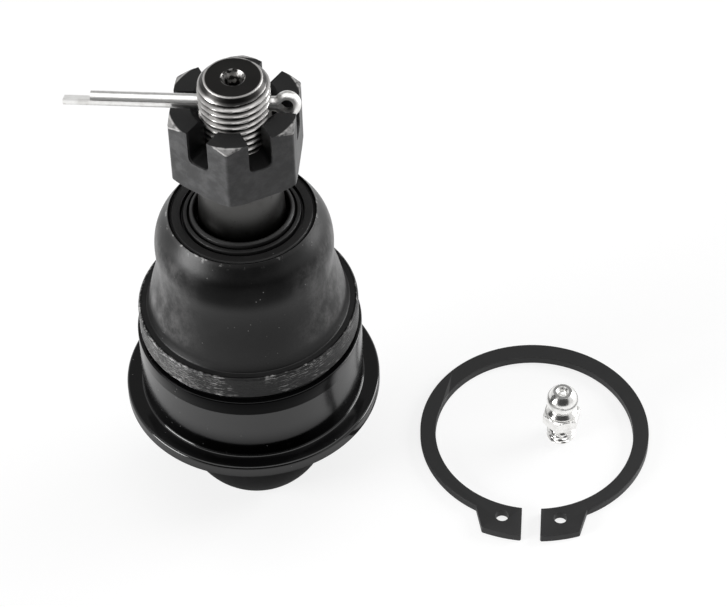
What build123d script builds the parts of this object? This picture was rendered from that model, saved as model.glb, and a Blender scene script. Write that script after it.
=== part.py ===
from build123d import *

import os
from math import acos, asin, atan, cos, degrees, radians, sin, sqrt, tan

# Suspension ball joint, standing on the flat of its domed end cover.
# Millimetres. Origin at the centre of that flat, +Z up the stud.
# Beside it lie the loose snap ring and the loose grease fitting that belong to it.

# Housing, outside
body_diameter = 45.3
flange_diameter = 52.0
flange_thickness = 2.8
flange_edge_chamfer = 0.35
foot_fillet = 0.4
press_length = 16.0
lead_in_chamfer = 0.3
ring_groove_diameter = 42.5
ring_groove_play = 0.15
collar_diameter = 43.1
collar_height = 1.0
boot_land_diameter = 39.6
boot_land_height = 2.9
land_chamfer = 0.4

# Housing, inside and underneath
bearing_bore_diameter = 34.0
bearing_roof_thickness = 10.25
throat_play = 0.2
crimp_boss_diameter = 40.4
crimp_lip_thickness = 1.4
crimp_overlap = 1.9
rim_recess = 0.6
boss_chamfer = 0.5

# End cover
cover_drop = 25.0
cover_body_diameter = 30.5
cover_wall = 1.5
cover_rim_diameter = 35.2
cover_rim_thickness = 1.6
standing_flat_diameter = 15.8
port_boss_diameter = 8.8
port_boss_height = 5.0
port_hole_diameter = 5.0

# Ball, bearings and spring
tilt_limit = 22.0
ball_diameter = 27.0
ball_flat_diameter = 6.0
pivot_above_flange = 3.9
running_clearance = 0.05
opening_play_angle = 0.3
bearing_skirt = 3.4
bearing_gap = 0.6
cup_rim_thickness = 1.7
cup_guide_gap = 0.2
cup_floor_below_pivot = 15.8
cup_hole_diameter = 9.0
spring_wire = 2.4
spring_low_diameter = 11.9
spring_high_diameter = 19.0
spring_turns = 3
spring_grind = 1.2
seat_gap = 0.05

# Ball stud above the ball
neck_diameter = 15.0
neck_fillet = 1.0
neck_height = 25.0
flare_length = 7.0
boot_collar_diameter = 18.2
boot_collar_length = 7.0
taper_big_diameter = 17.7
taper_length = 17.4
taper_rate = 1 / 8
relief_diameter = 13.0
relief_length = 1.0
thread_diameter = 13.84
stud_tip_above_pivot = 78.7
tip_face_diameter = 11.0
tip_chamfer_height = 1.7
centre_hole_diameter = 4.6
centre_hole_angle = 60.0
centre_pilot_diameter = 1.8
centre_pilot_depth = 2.5
cotter_hole_diameter = 3.2
cotter_hole_below_tip = 6.35
cotter_turn = -5.0

# Castle nut
nut_across_flats = 23.7
nut_height = 14.85
nut_top_below_tip = 6.3
nut_end_circle_diameter = 25.0
nut_chamfer_angle = 30.0
nut_bore_diameter = 13.96
nut_countersink = 0.6
nut_top_countersink = 1.5
nut_corner_rounding = 0.8
nut_slot_count = 6
nut_slot_width = 4.7
nut_slot_depth = 7.5
nut_slot_corner_radius = 1.2
nut_turn = -6.3

# Cotter pin
cotter_diameter = 2.84
cotter_leg_gap = 0.1
cotter_long_leg = 32.3
cotter_short_leg = 27.1
cotter_eye_start = 7.4
cotter_eye_inner_radius = 1.23
cotter_eye_bend_radius = 2.2
cotter_roll = 24.0

# Dust boot and its two steel rings
bead_over_collar = 0.55
bead_height = 5.3
bead_edge = 0.3
bead_overhang = 0.75
boot_fit_clearance = 0.08
boot_base_step = 2.0
boot_flank_diameter = 38.1
boot_flank_height = 5.2
boot_waist_diameter = 35.2
boot_waist_height = 12.2
boot_shoulder_diameter = 35.3
boot_shoulder_height = 16.9
boot_crown_diameter = 33.9
boot_crown_height = 20.6
boot_lip_diameter = 29.0
boot_height = 24.85
boot_wall = 1.9
boot_cavity_height = 20.6
boot_sleeve_diameter = 24.0
boot_sleeve_height = 13.8
boot_hole_diameter = 18.8
boot_inner_lip_diameter = 22.2
boot_inner_lip_rise = 1.2
boot_ring_groove_diameter = 23.6
boot_ring_groove_width = 0.8
boot_ring_groove_depth = 0.9
bead_ring_wall = 0.9
bead_ring_height = 2.3
bead_ring_above_collar = 0.4
top_ring_wall = 0.9
top_ring_height = 5.5
top_ring_below_collar_top = 5.1

# Snap ring
ring_inner_diameter = 42.1
ring_band = 3.3
ring_outer_offset = 0.5
ring_thickness = 1.8
ring_gap = 3.95
lug_rise = 4.1
lug_outer_angle = 21.0
lug_root_sink = 0.45
lug_root_angle = 29.0
lug_corner_radius = 0.4
plier_hole_diameter = 2.7
plier_hole_inset = 4.4
plier_hole_angle = 14.6
ring_x = 58.7
ring_y = 3.6
ring_turn = -5.0

# Grease fitting
fitting_x = 64.4
fitting_y = 3.9
fitting_turn = 12.0
fitting_length = 14.75
fitting_thread_diameter = 6.0
fitting_thread_length = 5.0
fitting_tip_chamfer = 0.5
fitting_hex = 7.2
fitting_hex_height = 2.9
fitting_hex_circle_diameter = 7.0
fitting_collar_diameter = 6.6
fitting_collar_height = 0.5
fitting_waist_diameter = 4.85
fitting_waist_height = 9.3
fitting_head_diameter = 6.7
fitting_head_height = 11.7
fitting_nose_diameter = 3.95
fitting_bore_diameter = 2.7
fitting_mouth_diameter = 1.8
fitting_mouth_depth = 1.05
fitting_crimp_diameter = 1.6
fitting_crimp_height = 1.2
check_ball_diameter = 2.3
check_seat_angle = 45.0
check_wire = 0.35
check_spring_turns = 7
check_play = 0.02


def half(diameter):
    return diameter / 2


def circle_height(radius, across):
    """Height over a sphere's centre at which its section is `across` from the axis."""
    return sqrt(radius ** 2 - across ** 2)


# Heights that follow from the sizes above
flange_under_z = cover_drop
flange_top_z = flange_under_z + flange_thickness
groove_low_z = flange_top_z + press_length
groove_high_z = groove_low_z + ring_thickness + ring_groove_play
collar_top_z = groove_high_z + collar_height
housing_top_z = collar_top_z + boot_land_height
pivot_z = flange_top_z + pivot_above_flange
bore_roof_z = housing_top_z - bearing_roof_thickness
rim_top_z = flange_under_z + rim_recess
rim_low_z = rim_top_z - cover_rim_thickness
boss_low_z = rim_low_z - crimp_lip_thickness
stud_tip_z = pivot_z + stud_tip_above_pivot
cotter_z = stud_tip_z - cotter_hole_below_tip
nut_top_z = stud_tip_z - nut_top_below_tip
nut_low_z = nut_top_z - nut_height
flare_low_z = pivot_z + neck_height
collar_low_z = flare_low_z + flare_length
taper_low_z = collar_low_z + boot_collar_length
taper_high_z = taper_low_z + taper_length
thread_low_z = taper_high_z + relief_length
taper_small_diameter = taper_big_diameter - taper_length * taper_rate
bead_low_z = groove_high_z - bead_overhang
bead_top_z = bead_low_z + bead_height
boot_lip_z = bead_top_z + boot_height
ring_outer_diameter = ring_inner_diameter + 2 * ring_band
bead_diameter = collar_diameter + 2 * bead_over_collar
boot_base_diameter = bead_diameter - 2 * boot_base_step

# Radii that follow from the tilt: how far the neck reaches when the stud leans to its limit
ball_radius = half(ball_diameter)
socket_radius = ball_radius + running_clearance
neck_lean = half(neck_diameter) / cos(radians(tilt_limit))
neck_root_across = half(neck_diameter) + neck_fillet
neck_angle = degrees(asin(neck_root_across / (ball_radius + neck_fillet)))
opening_angle = radians(neck_angle + tilt_limit + opening_play_angle)
throat_top_radius = neck_lean + (housing_top_z - pivot_z) * tan(radians(tilt_limit)) + throat_play
throat_low_radius = neck_lean + (bore_roof_z - pivot_z) * tan(radians(tilt_limit)) + throat_play

# The cover's domed end is a sphere of the cup's own radius, cut by the standing flat
dome_radius = half(cover_body_diameter)
dome_centre_z = circle_height(dome_radius, half(standing_flat_diameter))
dome_inner_radius = dome_radius - cover_wall
floor_radius = circle_height(dome_inner_radius, dome_centre_z - cover_wall)


def polar(radius, angle):
    """A point of a flat sketch at this distance and angle."""
    return (radius * cos(radians(angle)), radius * sin(radians(angle)))


os.makedirs("parts", exist_ok=True)

# Housing: one turned profile. Under the flange a thin lip is rolled in over the cover's rim.
with BuildPart() as housing:
    with BuildSketch(Plane.XZ):
        with BuildLine():
            Polyline(
                (half(cover_rim_diameter) - crimp_overlap, boss_low_z),
                (half(crimp_boss_diameter) - boss_chamfer, boss_low_z),
                (half(crimp_boss_diameter), boss_low_z + boss_chamfer),
                (half(crimp_boss_diameter), flange_under_z),
                (half(flange_diameter) - flange_edge_chamfer, flange_under_z),
                (half(flange_diameter), flange_under_z + flange_edge_chamfer),
                (half(flange_diameter), flange_top_z - flange_edge_chamfer),
                (half(flange_diameter) - flange_edge_chamfer, flange_top_z),
                (half(body_diameter) + foot_fillet, flange_top_z),
            )
            foot = RadiusArc(
                (half(body_diameter) + foot_fillet, flange_top_z),
                (half(body_diameter), flange_top_z + foot_fillet),
                foot_fillet,
            )
            Polyline(
                (half(body_diameter), flange_top_z + foot_fillet),
                (half(body_diameter), groove_low_z - lead_in_chamfer),
                (half(body_diameter) - lead_in_chamfer, groove_low_z),
                (half(ring_groove_diameter), groove_low_z),
                (half(ring_groove_diameter), groove_high_z),
                (half(collar_diameter), groove_high_z),
                (half(collar_diameter), collar_top_z),
                (half(boot_land_diameter), collar_top_z),
                (half(boot_land_diameter), housing_top_z - land_chamfer),
                (half(boot_land_diameter) - land_chamfer, housing_top_z),
                (throat_top_radius, housing_top_z),
                (throat_low_radius, bore_roof_z),
                (half(bearing_bore_diameter), bore_roof_z),
                (half(bearing_bore_diameter), rim_top_z),
                (half(cover_rim_diameter), rim_top_z),
                (half(cover_rim_diameter), rim_low_z),
                (half(cover_rim_diameter) - crimp_overlap, rim_low_z),
                (half(cover_rim_diameter) - crimp_overlap, boss_low_z),
            )
        make_face()
    revolve(axis=Axis.Z)
housing.part.label = "housing"

# End cover: rim, straight cup wall, domed end, and a tapped boss for the grease fitting
with BuildPart() as end_cover:
    with BuildSketch(Plane.XZ):
        with BuildLine():
            Polyline(
                (half(port_hole_diameter), port_boss_height),
                (half(port_hole_diameter), 0),
                (half(standing_flat_diameter), 0),
            )
            CenterArc(
                (0, dome_centre_z),
                dome_radius,
                -degrees(asin(dome_centre_z / dome_radius)),
                degrees(asin(dome_centre_z / dome_radius)),
            )
            Polyline(
                (dome_radius, dome_centre_z),
                (dome_radius, rim_low_z),
                (half(cover_rim_diameter), rim_low_z),
                (half(cover_rim_diameter), rim_top_z),
                (dome_inner_radius, rim_top_z),
                (dome_inner_radius, dome_centre_z),
            )
            CenterArc(
                (0, dome_centre_z),
                dome_inner_radius,
                0,
                -degrees(acos(floor_radius / dome_inner_radius)),
            )
            Polyline(
                (floor_radius, cover_wall),
                (half(port_boss_diameter), cover_wall),
                (half(port_boss_diameter), port_boss_height),
                (half(port_hole_diameter), port_boss_height),
            )
        make_face()
    revolve(axis=Axis.Z)
end_cover.part.label = "end_cover"

# Upper bearing: a shell over the ball, open at the top by the neck's lean
opening_radius = socket_radius * sin(opening_angle)
opening_z = pivot_z + socket_radius * cos(opening_angle)
upper_bearing_top_z = bore_roof_z - seat_gap
upper_bearing_low_z = pivot_z - bearing_skirt
upper_bearing_radius = half(bearing_bore_diameter) - running_clearance
with BuildPart() as upper_bearing:
    with BuildSketch(Plane.XZ):
        with BuildLine():
            low_angle = degrees(asin(bearing_skirt / socket_radius))
            shell = CenterArc(
                (0, pivot_z),
                socket_radius,
                -low_angle,
                low_angle + 90 - degrees(opening_angle),
            )
            Polyline(
                shell @ 1,
                (opening_radius, upper_bearing_top_z),
                (upper_bearing_radius, upper_bearing_top_z),
                (upper_bearing_radius, upper_bearing_low_z),
                shell @ 0,
            )
        make_face()
    revolve(axis=Axis.Z)
upper_bearing.part.label = "upper_bearing"

# Pressure cup: the lower shell, guided in the cover and pushed up against the ball by the spring
cup_top_z = upper_bearing_low_z - bearing_gap
cup_low_z = pivot_z - cup_floor_below_pivot
cup_across = circle_height(socket_radius, pivot_z - cup_top_z)
cup_hole_z = pivot_z - circle_height(socket_radius, half(cup_hole_diameter))
cup_turn = degrees(acos(cup_across / socket_radius))
cup_hole_turn = degrees(acos(half(cup_hole_diameter) / socket_radius))
cup_spigot_radius = dome_inner_radius - cup_guide_gap
with BuildPart() as pressure_cup:
    with BuildSketch(Plane.XZ):
        with BuildLine():
            CenterArc((0, pivot_z), socket_radius, -cup_hole_turn, cup_hole_turn - cup_turn)
            Polyline(
                (cup_across, cup_top_z),
                (upper_bearing_radius, cup_top_z),
                (upper_bearing_radius, cup_top_z - cup_rim_thickness),
                (cup_spigot_radius, cup_top_z - cup_rim_thickness),
                (cup_spigot_radius, cup_low_z),
                (half(cup_hole_diameter), cup_low_z),
                (half(cup_hole_diameter), cup_hole_z),
            )
        make_face()
    revolve(axis=Axis.Z)
pressure_cup.part.label = "pressure_cup"

# Preload spring: conical coil with both ends ground flat
spring_low_z = cover_wall + seat_gap
spring_high_z = cup_low_z - seat_gap
spring_rise = spring_high_z - spring_low_z - spring_wire + spring_grind
spring_lean = degrees(atan((half(spring_high_diameter) - half(spring_low_diameter)) / spring_rise))
with BuildPart() as preload_spring:
    with BuildLine():
        coil = Helix(
            pitch=spring_rise / spring_turns,
            height=spring_rise,
            radius=half(spring_low_diameter),
            center=(0, 0, spring_low_z + half(spring_wire) - half(spring_grind)),
            cone_angle=spring_lean,
        )
    with BuildSketch(Plane(origin=coil @ 0, z_dir=coil % 0)):
        Circle(half(spring_wire))
    sweep(is_frenet=True)
    with BuildSketch(Plane.XY.offset(spring_low_z)):
        Circle(half(cover_rim_diameter))
    extrude(amount=spring_high_z - spring_low_z, mode=Mode.INTERSECT)
preload_spring.part.label = "preload_spring"

# Ball stud: ball, neck, flared collar for the boot, taper, thread and a centre hole in its end
ball_flat_z = pivot_z - circle_height(ball_radius, half(ball_flat_diameter))
neck_low_z = pivot_z + circle_height(ball_radius + neck_fillet, neck_root_across)
ball_join_across = neck_root_across * ball_radius / (ball_radius + neck_fillet)
ball_join_z = pivot_z + circle_height(ball_radius, ball_join_across)
centre_cone_depth = (half(centre_hole_diameter) - half(centre_pilot_diameter)) / tan(
    radians(half(centre_hole_angle))
)
with BuildPart() as ball_stud:
    with BuildSketch(Plane.XZ):
        with BuildLine():
            ball_low_turn = degrees(acos(half(ball_flat_diameter) / ball_radius))
            CenterArc((0, pivot_z), ball_radius, -ball_low_turn, ball_low_turn + 90 - neck_angle)
            RadiusArc((ball_join_across, ball_join_z), (half(neck_diameter), neck_low_z), neck_fillet)
            Polyline(
                (half(neck_diameter), neck_low_z),
                (half(neck_diameter), flare_low_z),
                (half(boot_collar_diameter), collar_low_z),
                (half(boot_collar_diameter), taper_low_z),
                (half(taper_big_diameter), taper_low_z),
                (half(taper_small_diameter), taper_high_z),
                (half(relief_diameter), taper_high_z),
                (half(relief_diameter), thread_low_z),
                (half(thread_diameter), thread_low_z),
                (half(thread_diameter), stud_tip_z - tip_chamfer_height),
                (half(tip_face_diameter), stud_tip_z),
                (half(centre_hole_diameter), stud_tip_z),
                (half(centre_pilot_diameter), stud_tip_z - centre_cone_depth),
                (half(centre_pilot_diameter), stud_tip_z - centre_cone_depth - centre_pilot_depth),
                (0, stud_tip_z - centre_cone_depth - centre_pilot_depth),
                (0, ball_flat_z),
                (half(ball_flat_diameter), ball_flat_z),
            )
        make_face()
    revolve(axis=Axis.Z)
    with BuildSketch(Plane.XZ.rotated((0, 0, 90 + cotter_turn))):
        with Locations((0, cotter_z)):
            Circle(half(cotter_hole_diameter))
    extrude(amount=thread_diameter, both=True, mode=Mode.SUBTRACT)
ball_stud.part.label = "ball_stud"

# Castle nut: hexagon trimmed by end cones, bored, with slots through the middle of its flats
nut_corner_radius = half(nut_across_flats) / cos(radians(30))
nut_cone_height = (nut_corner_radius - half(nut_end_circle_diameter)) * tan(radians(nut_chamfer_angle))
with BuildPart() as castle_nut:
    with BuildSketch(Plane.XY.offset(nut_low_z)):
        RegularPolygon(radius=nut_corner_radius, side_count=6, rotation=nut_turn - 30)
        fillet(vertices(), radius=nut_corner_rounding)
    extrude(amount=nut_height)
    with BuildSketch(Plane.XZ):
        with BuildLine():
            Polyline(
                (half(nut_bore_diameter) + nut_countersink, nut_low_z),
                (half(nut_end_circle_diameter), nut_low_z),
                (nut_corner_radius, nut_low_z + nut_cone_height),
                (nut_corner_radius, nut_top_z - nut_cone_height),
                (half(nut_end_circle_diameter), nut_top_z),
                (half(nut_bore_diameter) + nut_top_countersink, nut_top_z),
                (half(nut_bore_diameter), nut_top_z - nut_top_countersink),
                (half(nut_bore_diameter), nut_low_z + nut_countersink),
                close=True,
            )
        make_face()
    revolve(axis=Axis.Z, mode=Mode.INTERSECT)
    for turn in range(nut_slot_count // 2):
        slot_side = Plane.XZ.rotated((0, 0, 90 + nut_turn + turn * 360 / nut_slot_count))
        with BuildSketch(slot_side):
            with Locations((0, nut_top_z - nut_slot_depth)):
                Rectangle(nut_slot_width, nut_height, align=(Align.CENTER, Align.MIN))
            fillet(vertices().sort_by(Axis.Y)[:2], radius=nut_slot_corner_radius)
        extrude(amount=nut_across_flats, both=True, mode=Mode.SUBTRACT)
castle_nut.part.label = "castle_nut"

# Cotter pin: half-round wire, one leg up to the eye, round it and back along the other leg
pin_along = (cos(radians(cotter_turn)), sin(radians(cotter_turn)), 0)
pin_side = (
    cos(radians(cotter_roll)) * sin(radians(cotter_turn)),
    -cos(radians(cotter_roll)) * cos(radians(cotter_turn)),
    sin(radians(cotter_roll)),
)
pin_plane = Plane(origin=(0, 0, cotter_z), x_dir=pin_along, z_dir=pin_side)
leg_offset = half(cotter_leg_gap)
eye_turn = degrees(
    acos((leg_offset + cotter_eye_bend_radius) / (cotter_eye_inner_radius + cotter_eye_bend_radius))
)
eye_centre_along = cotter_eye_start + (cotter_eye_inner_radius + cotter_eye_bend_radius) * sin(radians(eye_turn))
with BuildPart() as cotter_pin:
    with BuildLine(pin_plane):
        Line((-cotter_short_leg, leg_offset), (cotter_eye_start, leg_offset))
        CenterArc(
            (cotter_eye_start, leg_offset + cotter_eye_bend_radius), cotter_eye_bend_radius, 270, eye_turn
        )
        CenterArc(
            (eye_centre_along, 0), cotter_eye_inner_radius, 90 + eye_turn, -180 - 2 * eye_turn
        )
        CenterArc(
            (cotter_eye_start, -leg_offset - cotter_eye_bend_radius),
            cotter_eye_bend_radius,
            90 - eye_turn,
            eye_turn,
        )
        Line((cotter_eye_start, -leg_offset), (-cotter_long_leg, -leg_offset))
    start = pin_plane.from_local_coords(Vector(-cotter_short_leg, 0, 0))
    with BuildSketch(Plane(origin=start, x_dir=pin_plane.z_dir, z_dir=pin_plane.x_dir)):
        Circle(half(cotter_diameter))
        with Locations((0, leg_offset)):
            Rectangle(cotter_diameter, cotter_diameter, align=(Align.CENTER, Align.MAX), mode=Mode.SUBTRACT)
    sweep()
cotter_pin.part.label = "cotter_pin"

# Dust boot: thick bead over the collar, waisted wall, thick sealing end with a sleeve inside
sleeve_low_z = bead_top_z + boot_sleeve_height
cavity_top_z = bead_top_z + boot_cavity_height
top_ring_low_z = taper_low_z - top_ring_below_collar_top
top_ring_high_z = top_ring_low_z + top_ring_height
top_ring_inner = half(boot_collar_diameter) + running_clearance
top_ring_outer = top_ring_inner + top_ring_wall
bead_ring_low_z = collar_top_z + bead_ring_above_collar
bead_ring_high_z = bead_ring_low_z + bead_ring_height
bead_ring_inner = half(boot_land_diameter) + running_clearance
bead_ring_outer = bead_ring_inner + bead_ring_wall
boot_face_inner = half(boot_inner_lip_diameter)
boot_face_groove = half(boot_ring_groove_diameter)
boot_lip_height_z = boot_lip_z + boot_inner_lip_rise
with BuildPart() as dust_boot:
    with BuildSketch(Plane.XZ):
        with BuildLine():
            Polyline(
                (half(collar_diameter) + boot_fit_clearance, bead_low_z),
                (half(bead_diameter) - bead_edge, bead_low_z),
                (half(bead_diameter), bead_low_z + bead_edge),
                (half(bead_diameter), bead_top_z - bead_edge),
                (half(bead_diameter) - bead_edge, bead_top_z),
                (half(boot_base_diameter), bead_top_z),
            )
            Spline(
                (half(boot_base_diameter), bead_top_z),
                (half(boot_flank_diameter), bead_top_z + boot_flank_height),
                (half(boot_waist_diameter), bead_top_z + boot_waist_height),
                (half(boot_shoulder_diameter), bead_top_z + boot_shoulder_height),
                (half(boot_crown_diameter), bead_top_z + boot_crown_height),
                (half(boot_lip_diameter), boot_lip_z),
            )
            Polyline(
                (half(boot_lip_diameter), boot_lip_z),
                (boot_face_groove + half(boot_ring_groove_width), boot_lip_z),
                (boot_face_groove, boot_lip_z - boot_ring_groove_depth),
                (boot_face_inner, boot_lip_z),
                (half(boot_hole_diameter), boot_lip_height_z),
                (half(boot_hole_diameter), top_ring_high_z),
                (top_ring_outer, top_ring_high_z),
                (top_ring_outer, top_ring_low_z),
                (top_ring_inner, top_ring_low_z),
                (top_ring_inner, sleeve_low_z),
                (half(boot_sleeve_diameter), sleeve_low_z),
                (half(boot_sleeve_diameter), cavity_top_z),
                (half(boot_crown_diameter) - boot_wall, cavity_top_z),
            )
            Spline(
                (half(boot_crown_diameter) - boot_wall, cavity_top_z),
                (half(boot_shoulder_diameter) - boot_wall, bead_top_z + boot_shoulder_height),
                (half(boot_waist_diameter) - boot_wall, bead_top_z + boot_waist_height),
                (half(boot_flank_diameter) - boot_wall, bead_top_z + boot_flank_height),
                (half(boot_base_diameter) - boot_wall, bead_top_z),
            )
            Polyline(
                (half(boot_base_diameter) - boot_wall, bead_top_z),
                (half(boot_base_diameter) - boot_wall, housing_top_z + boot_fit_clearance),
                (bead_ring_inner, housing_top_z + boot_fit_clearance),
                (bead_ring_inner, bead_ring_high_z),
                (bead_ring_outer, bead_ring_high_z),
                (bead_ring_outer, bead_ring_low_z),
                (bead_ring_inner, bead_ring_low_z),
                (bead_ring_inner, collar_top_z + boot_fit_clearance),
                (half(collar_diameter) + boot_fit_clearance, collar_top_z + boot_fit_clearance),
                (half(collar_diameter) + boot_fit_clearance, bead_low_z),
            )
        make_face()
    revolve(axis=Axis.Z)
dust_boot.part.label = "dust_boot"

# Steel ring in the bead, and steel sleeve in the small end in which the stud turns
with BuildPart() as boot_bead_ring:
    with BuildSketch(Plane.XY.offset(bead_ring_low_z)):
        Circle(bead_ring_outer)
        Circle(bead_ring_inner, mode=Mode.SUBTRACT)
    extrude(amount=bead_ring_height)
boot_bead_ring.part.label = "boot_bead_ring"

with BuildPart() as boot_top_ring:
    with BuildSketch(Plane.XY.offset(top_ring_low_z)):
        Circle(top_ring_outer)
        Circle(top_ring_inner, mode=Mode.SUBTRACT)
    extrude(amount=top_ring_height)
boot_top_ring.part.label = "boot_top_ring"

# Snap ring: eccentric band open at the front, with two lugs that carry the plier holes
ring_plane = Plane(
    origin=(ring_x, ring_y, 0),
    x_dir=(cos(radians(ring_turn)), sin(radians(ring_turn)), 0),
    z_dir=(0, 0, 1),
)
lug_outer_radius = half(ring_outer_diameter) + lug_rise
lug_root_radius = half(ring_outer_diameter) - lug_root_sink
plier_hole_radius = lug_outer_radius - plier_hole_inset
lug_edge = 270 - lug_outer_angle
with BuildPart() as snap_ring:
    with BuildSketch(ring_plane):
        with Locations((0, ring_outer_offset)):
            Circle(half(ring_outer_diameter))
        with BuildLine():
            CenterArc((0, 0), lug_outer_radius, lug_edge, 2 * lug_outer_angle)
            Polyline(
                polar(lug_outer_radius, 270 + lug_outer_angle),
                polar(lug_root_radius, 270 + lug_root_angle),
                (0, 0),
                polar(lug_root_radius, 270 - lug_root_angle),
                polar(lug_outer_radius, lug_edge),
            )
        make_face()
        Circle(half(ring_inner_diameter), mode=Mode.SUBTRACT)
        Rectangle(ring_gap, 2 * lug_outer_radius, align=(Align.CENTER, Align.MAX), mode=Mode.SUBTRACT)
        with Locations(
            polar(plier_hole_radius, 270 - plier_hole_angle),
            polar(plier_hole_radius, 270 + plier_hole_angle),
        ):
            Circle(half(plier_hole_diameter), mode=Mode.SUBTRACT)
        lug_corners = [
            corner
            for corner in vertices()
            if Vector(*corner).length > lug_outer_radius - lug_corner_radius
        ]
        fillet(lug_corners, radius=lug_corner_radius)
    extrude(amount=ring_thickness)
snap_ring.part.label = "snap_ring"

# Grease fitting: turned body whose hexagon is trimmed by end cones, bored for the check ball
fitting_place = (fitting_x, fitting_y, 0)
fitting_axis = Axis(fitting_place, (0, 0, 1))
fitting_along = (cos(radians(fitting_turn)), sin(radians(fitting_turn)), 0)
fitting_side = (sin(radians(fitting_turn)), -cos(radians(fitting_turn)), 0)
fitting_section = Plane(origin=fitting_place, x_dir=fitting_along, z_dir=fitting_side)
fitting_hex_corner = half(fitting_hex) / cos(radians(30))
fitting_cone = (fitting_hex_corner - half(fitting_hex_circle_diameter)) * tan(radians(nut_chamfer_angle))
hex_low_z = fitting_thread_length
hex_high_z = hex_low_z + fitting_hex_height
check_seat_rise = (half(fitting_bore_diameter) - half(fitting_mouth_diameter)) / tan(radians(check_seat_angle))
seat_high_z = fitting_length - fitting_mouth_depth
seat_low_z = seat_high_z - check_seat_rise
with BuildPart() as grease_fitting:
    with BuildSketch(Plane(origin=(fitting_x, fitting_y, hex_low_z), x_dir=fitting_along, z_dir=(0, 0, 1))):
        RegularPolygon(radius=fitting_hex_corner, side_count=6)
    extrude(amount=fitting_hex_height)
    with BuildSketch(fitting_section):
        with BuildLine():
            Polyline(
                (0, hex_low_z),
                (half(fitting_hex_circle_diameter), hex_low_z),
                (fitting_hex_corner, hex_low_z + fitting_cone),
                (fitting_hex_corner, hex_high_z - fitting_cone),
                (half(fitting_hex_circle_diameter), hex_high_z),
                (0, hex_high_z),
                close=True,
            )
        make_face()
    revolve(axis=fitting_axis, mode=Mode.INTERSECT)
    with BuildSketch(fitting_section):
        with BuildLine():
            Polyline(
                (0, 0),
                (half(fitting_thread_diameter) - fitting_tip_chamfer, 0),
                (half(fitting_thread_diameter), fitting_tip_chamfer),
                (half(fitting_thread_diameter), hex_high_z),
                (half(fitting_collar_diameter), hex_high_z),
                (half(fitting_collar_diameter), hex_high_z + fitting_collar_height),
                (half(fitting_waist_diameter), fitting_waist_height),
                (half(fitting_head_diameter), fitting_head_height - fitting_collar_height),
                (half(fitting_head_diameter), fitting_head_height + fitting_collar_height),
                (half(fitting_nose_diameter), fitting_length),
                (0, fitting_length),
                close=True,
            )
        make_face()
    revolve(axis=fitting_axis)
    with BuildSketch(fitting_section):
        with BuildLine():
            Polyline(
                (0, 0),
                (half(fitting_crimp_diameter), 0),
                (half(fitting_crimp_diameter), fitting_crimp_height),
                (half(fitting_bore_diameter), fitting_crimp_height),
                (half(fitting_bore_diameter), seat_low_z),
                (half(fitting_mouth_diameter), seat_high_z),
                (half(fitting_mouth_diameter), fitting_length),
                (0, fitting_length),
                close=True,
            )
        make_face()
    revolve(axis=fitting_axis, mode=Mode.SUBTRACT)
grease_fitting.part.label = "grease_fitting"

# Check ball, held up against its seat by a light spring
check_radius = half(check_ball_diameter)
check_z = seat_high_z + half(fitting_mouth_diameter) / tan(radians(check_seat_angle))
check_z = check_z - (check_radius + check_play) / sin(radians(check_seat_angle))
with BuildPart() as check_ball:
    with Locations((fitting_x, fitting_y, check_z)):
        Sphere(check_radius)
check_ball.part.label = "check_ball"

check_spring_radius = half(fitting_bore_diameter) - check_wire
check_spring_low_z = fitting_crimp_height + half(check_wire) + check_play
check_spring_high_z = check_z - circle_height(check_radius + half(check_wire) + check_play, check_spring_radius)
check_spring_rise = check_spring_high_z - check_spring_low_z
with BuildPart() as check_spring:
    with BuildLine():
        check_coil = Helix(
            pitch=check_spring_rise / check_spring_turns,
            height=check_spring_rise,
            radius=check_spring_radius,
            center=(fitting_x, fitting_y, check_spring_low_z),
        )
    with BuildSketch(Plane(origin=check_coil @ 0, z_dir=check_coil % 0)):
        Circle(half(check_wire))
    sweep(is_frenet=True)
check_spring.part.label = "check_spring"

export_step(housing.part, "parts/housing.step")
export_step(end_cover.part, "parts/end_cover.step")
export_step(upper_bearing.part, "parts/upper_bearing.step")
export_step(pressure_cup.part, "parts/pressure_cup.step")
export_step(preload_spring.part, "parts/preload_spring.step")
export_step(ball_stud.part, "parts/ball_stud.step")
export_step(dust_boot.part, "parts/dust_boot.step")
export_step(boot_bead_ring.part, "parts/boot_bead_ring.step")
export_step(boot_top_ring.part, "parts/boot_top_ring.step")
export_step(castle_nut.part, "parts/castle_nut.step")
export_step(cotter_pin.part, "parts/cotter_pin.step")
export_step(snap_ring.part, "parts/snap_ring.step")
export_step(grease_fitting.part, "parts/grease_fitting.step")
export_step(check_ball.part, "parts/check_ball.step")
export_step(check_spring.part, "parts/check_spring.step")
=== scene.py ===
"""Suspension ball joint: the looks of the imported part, in metres, in the part's own frame."""

import logging
import math
from dataclasses import dataclass
from enum import Enum

import bmesh
import bpy
import numpy as np
from mathutils import Matrix, Vector


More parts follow.
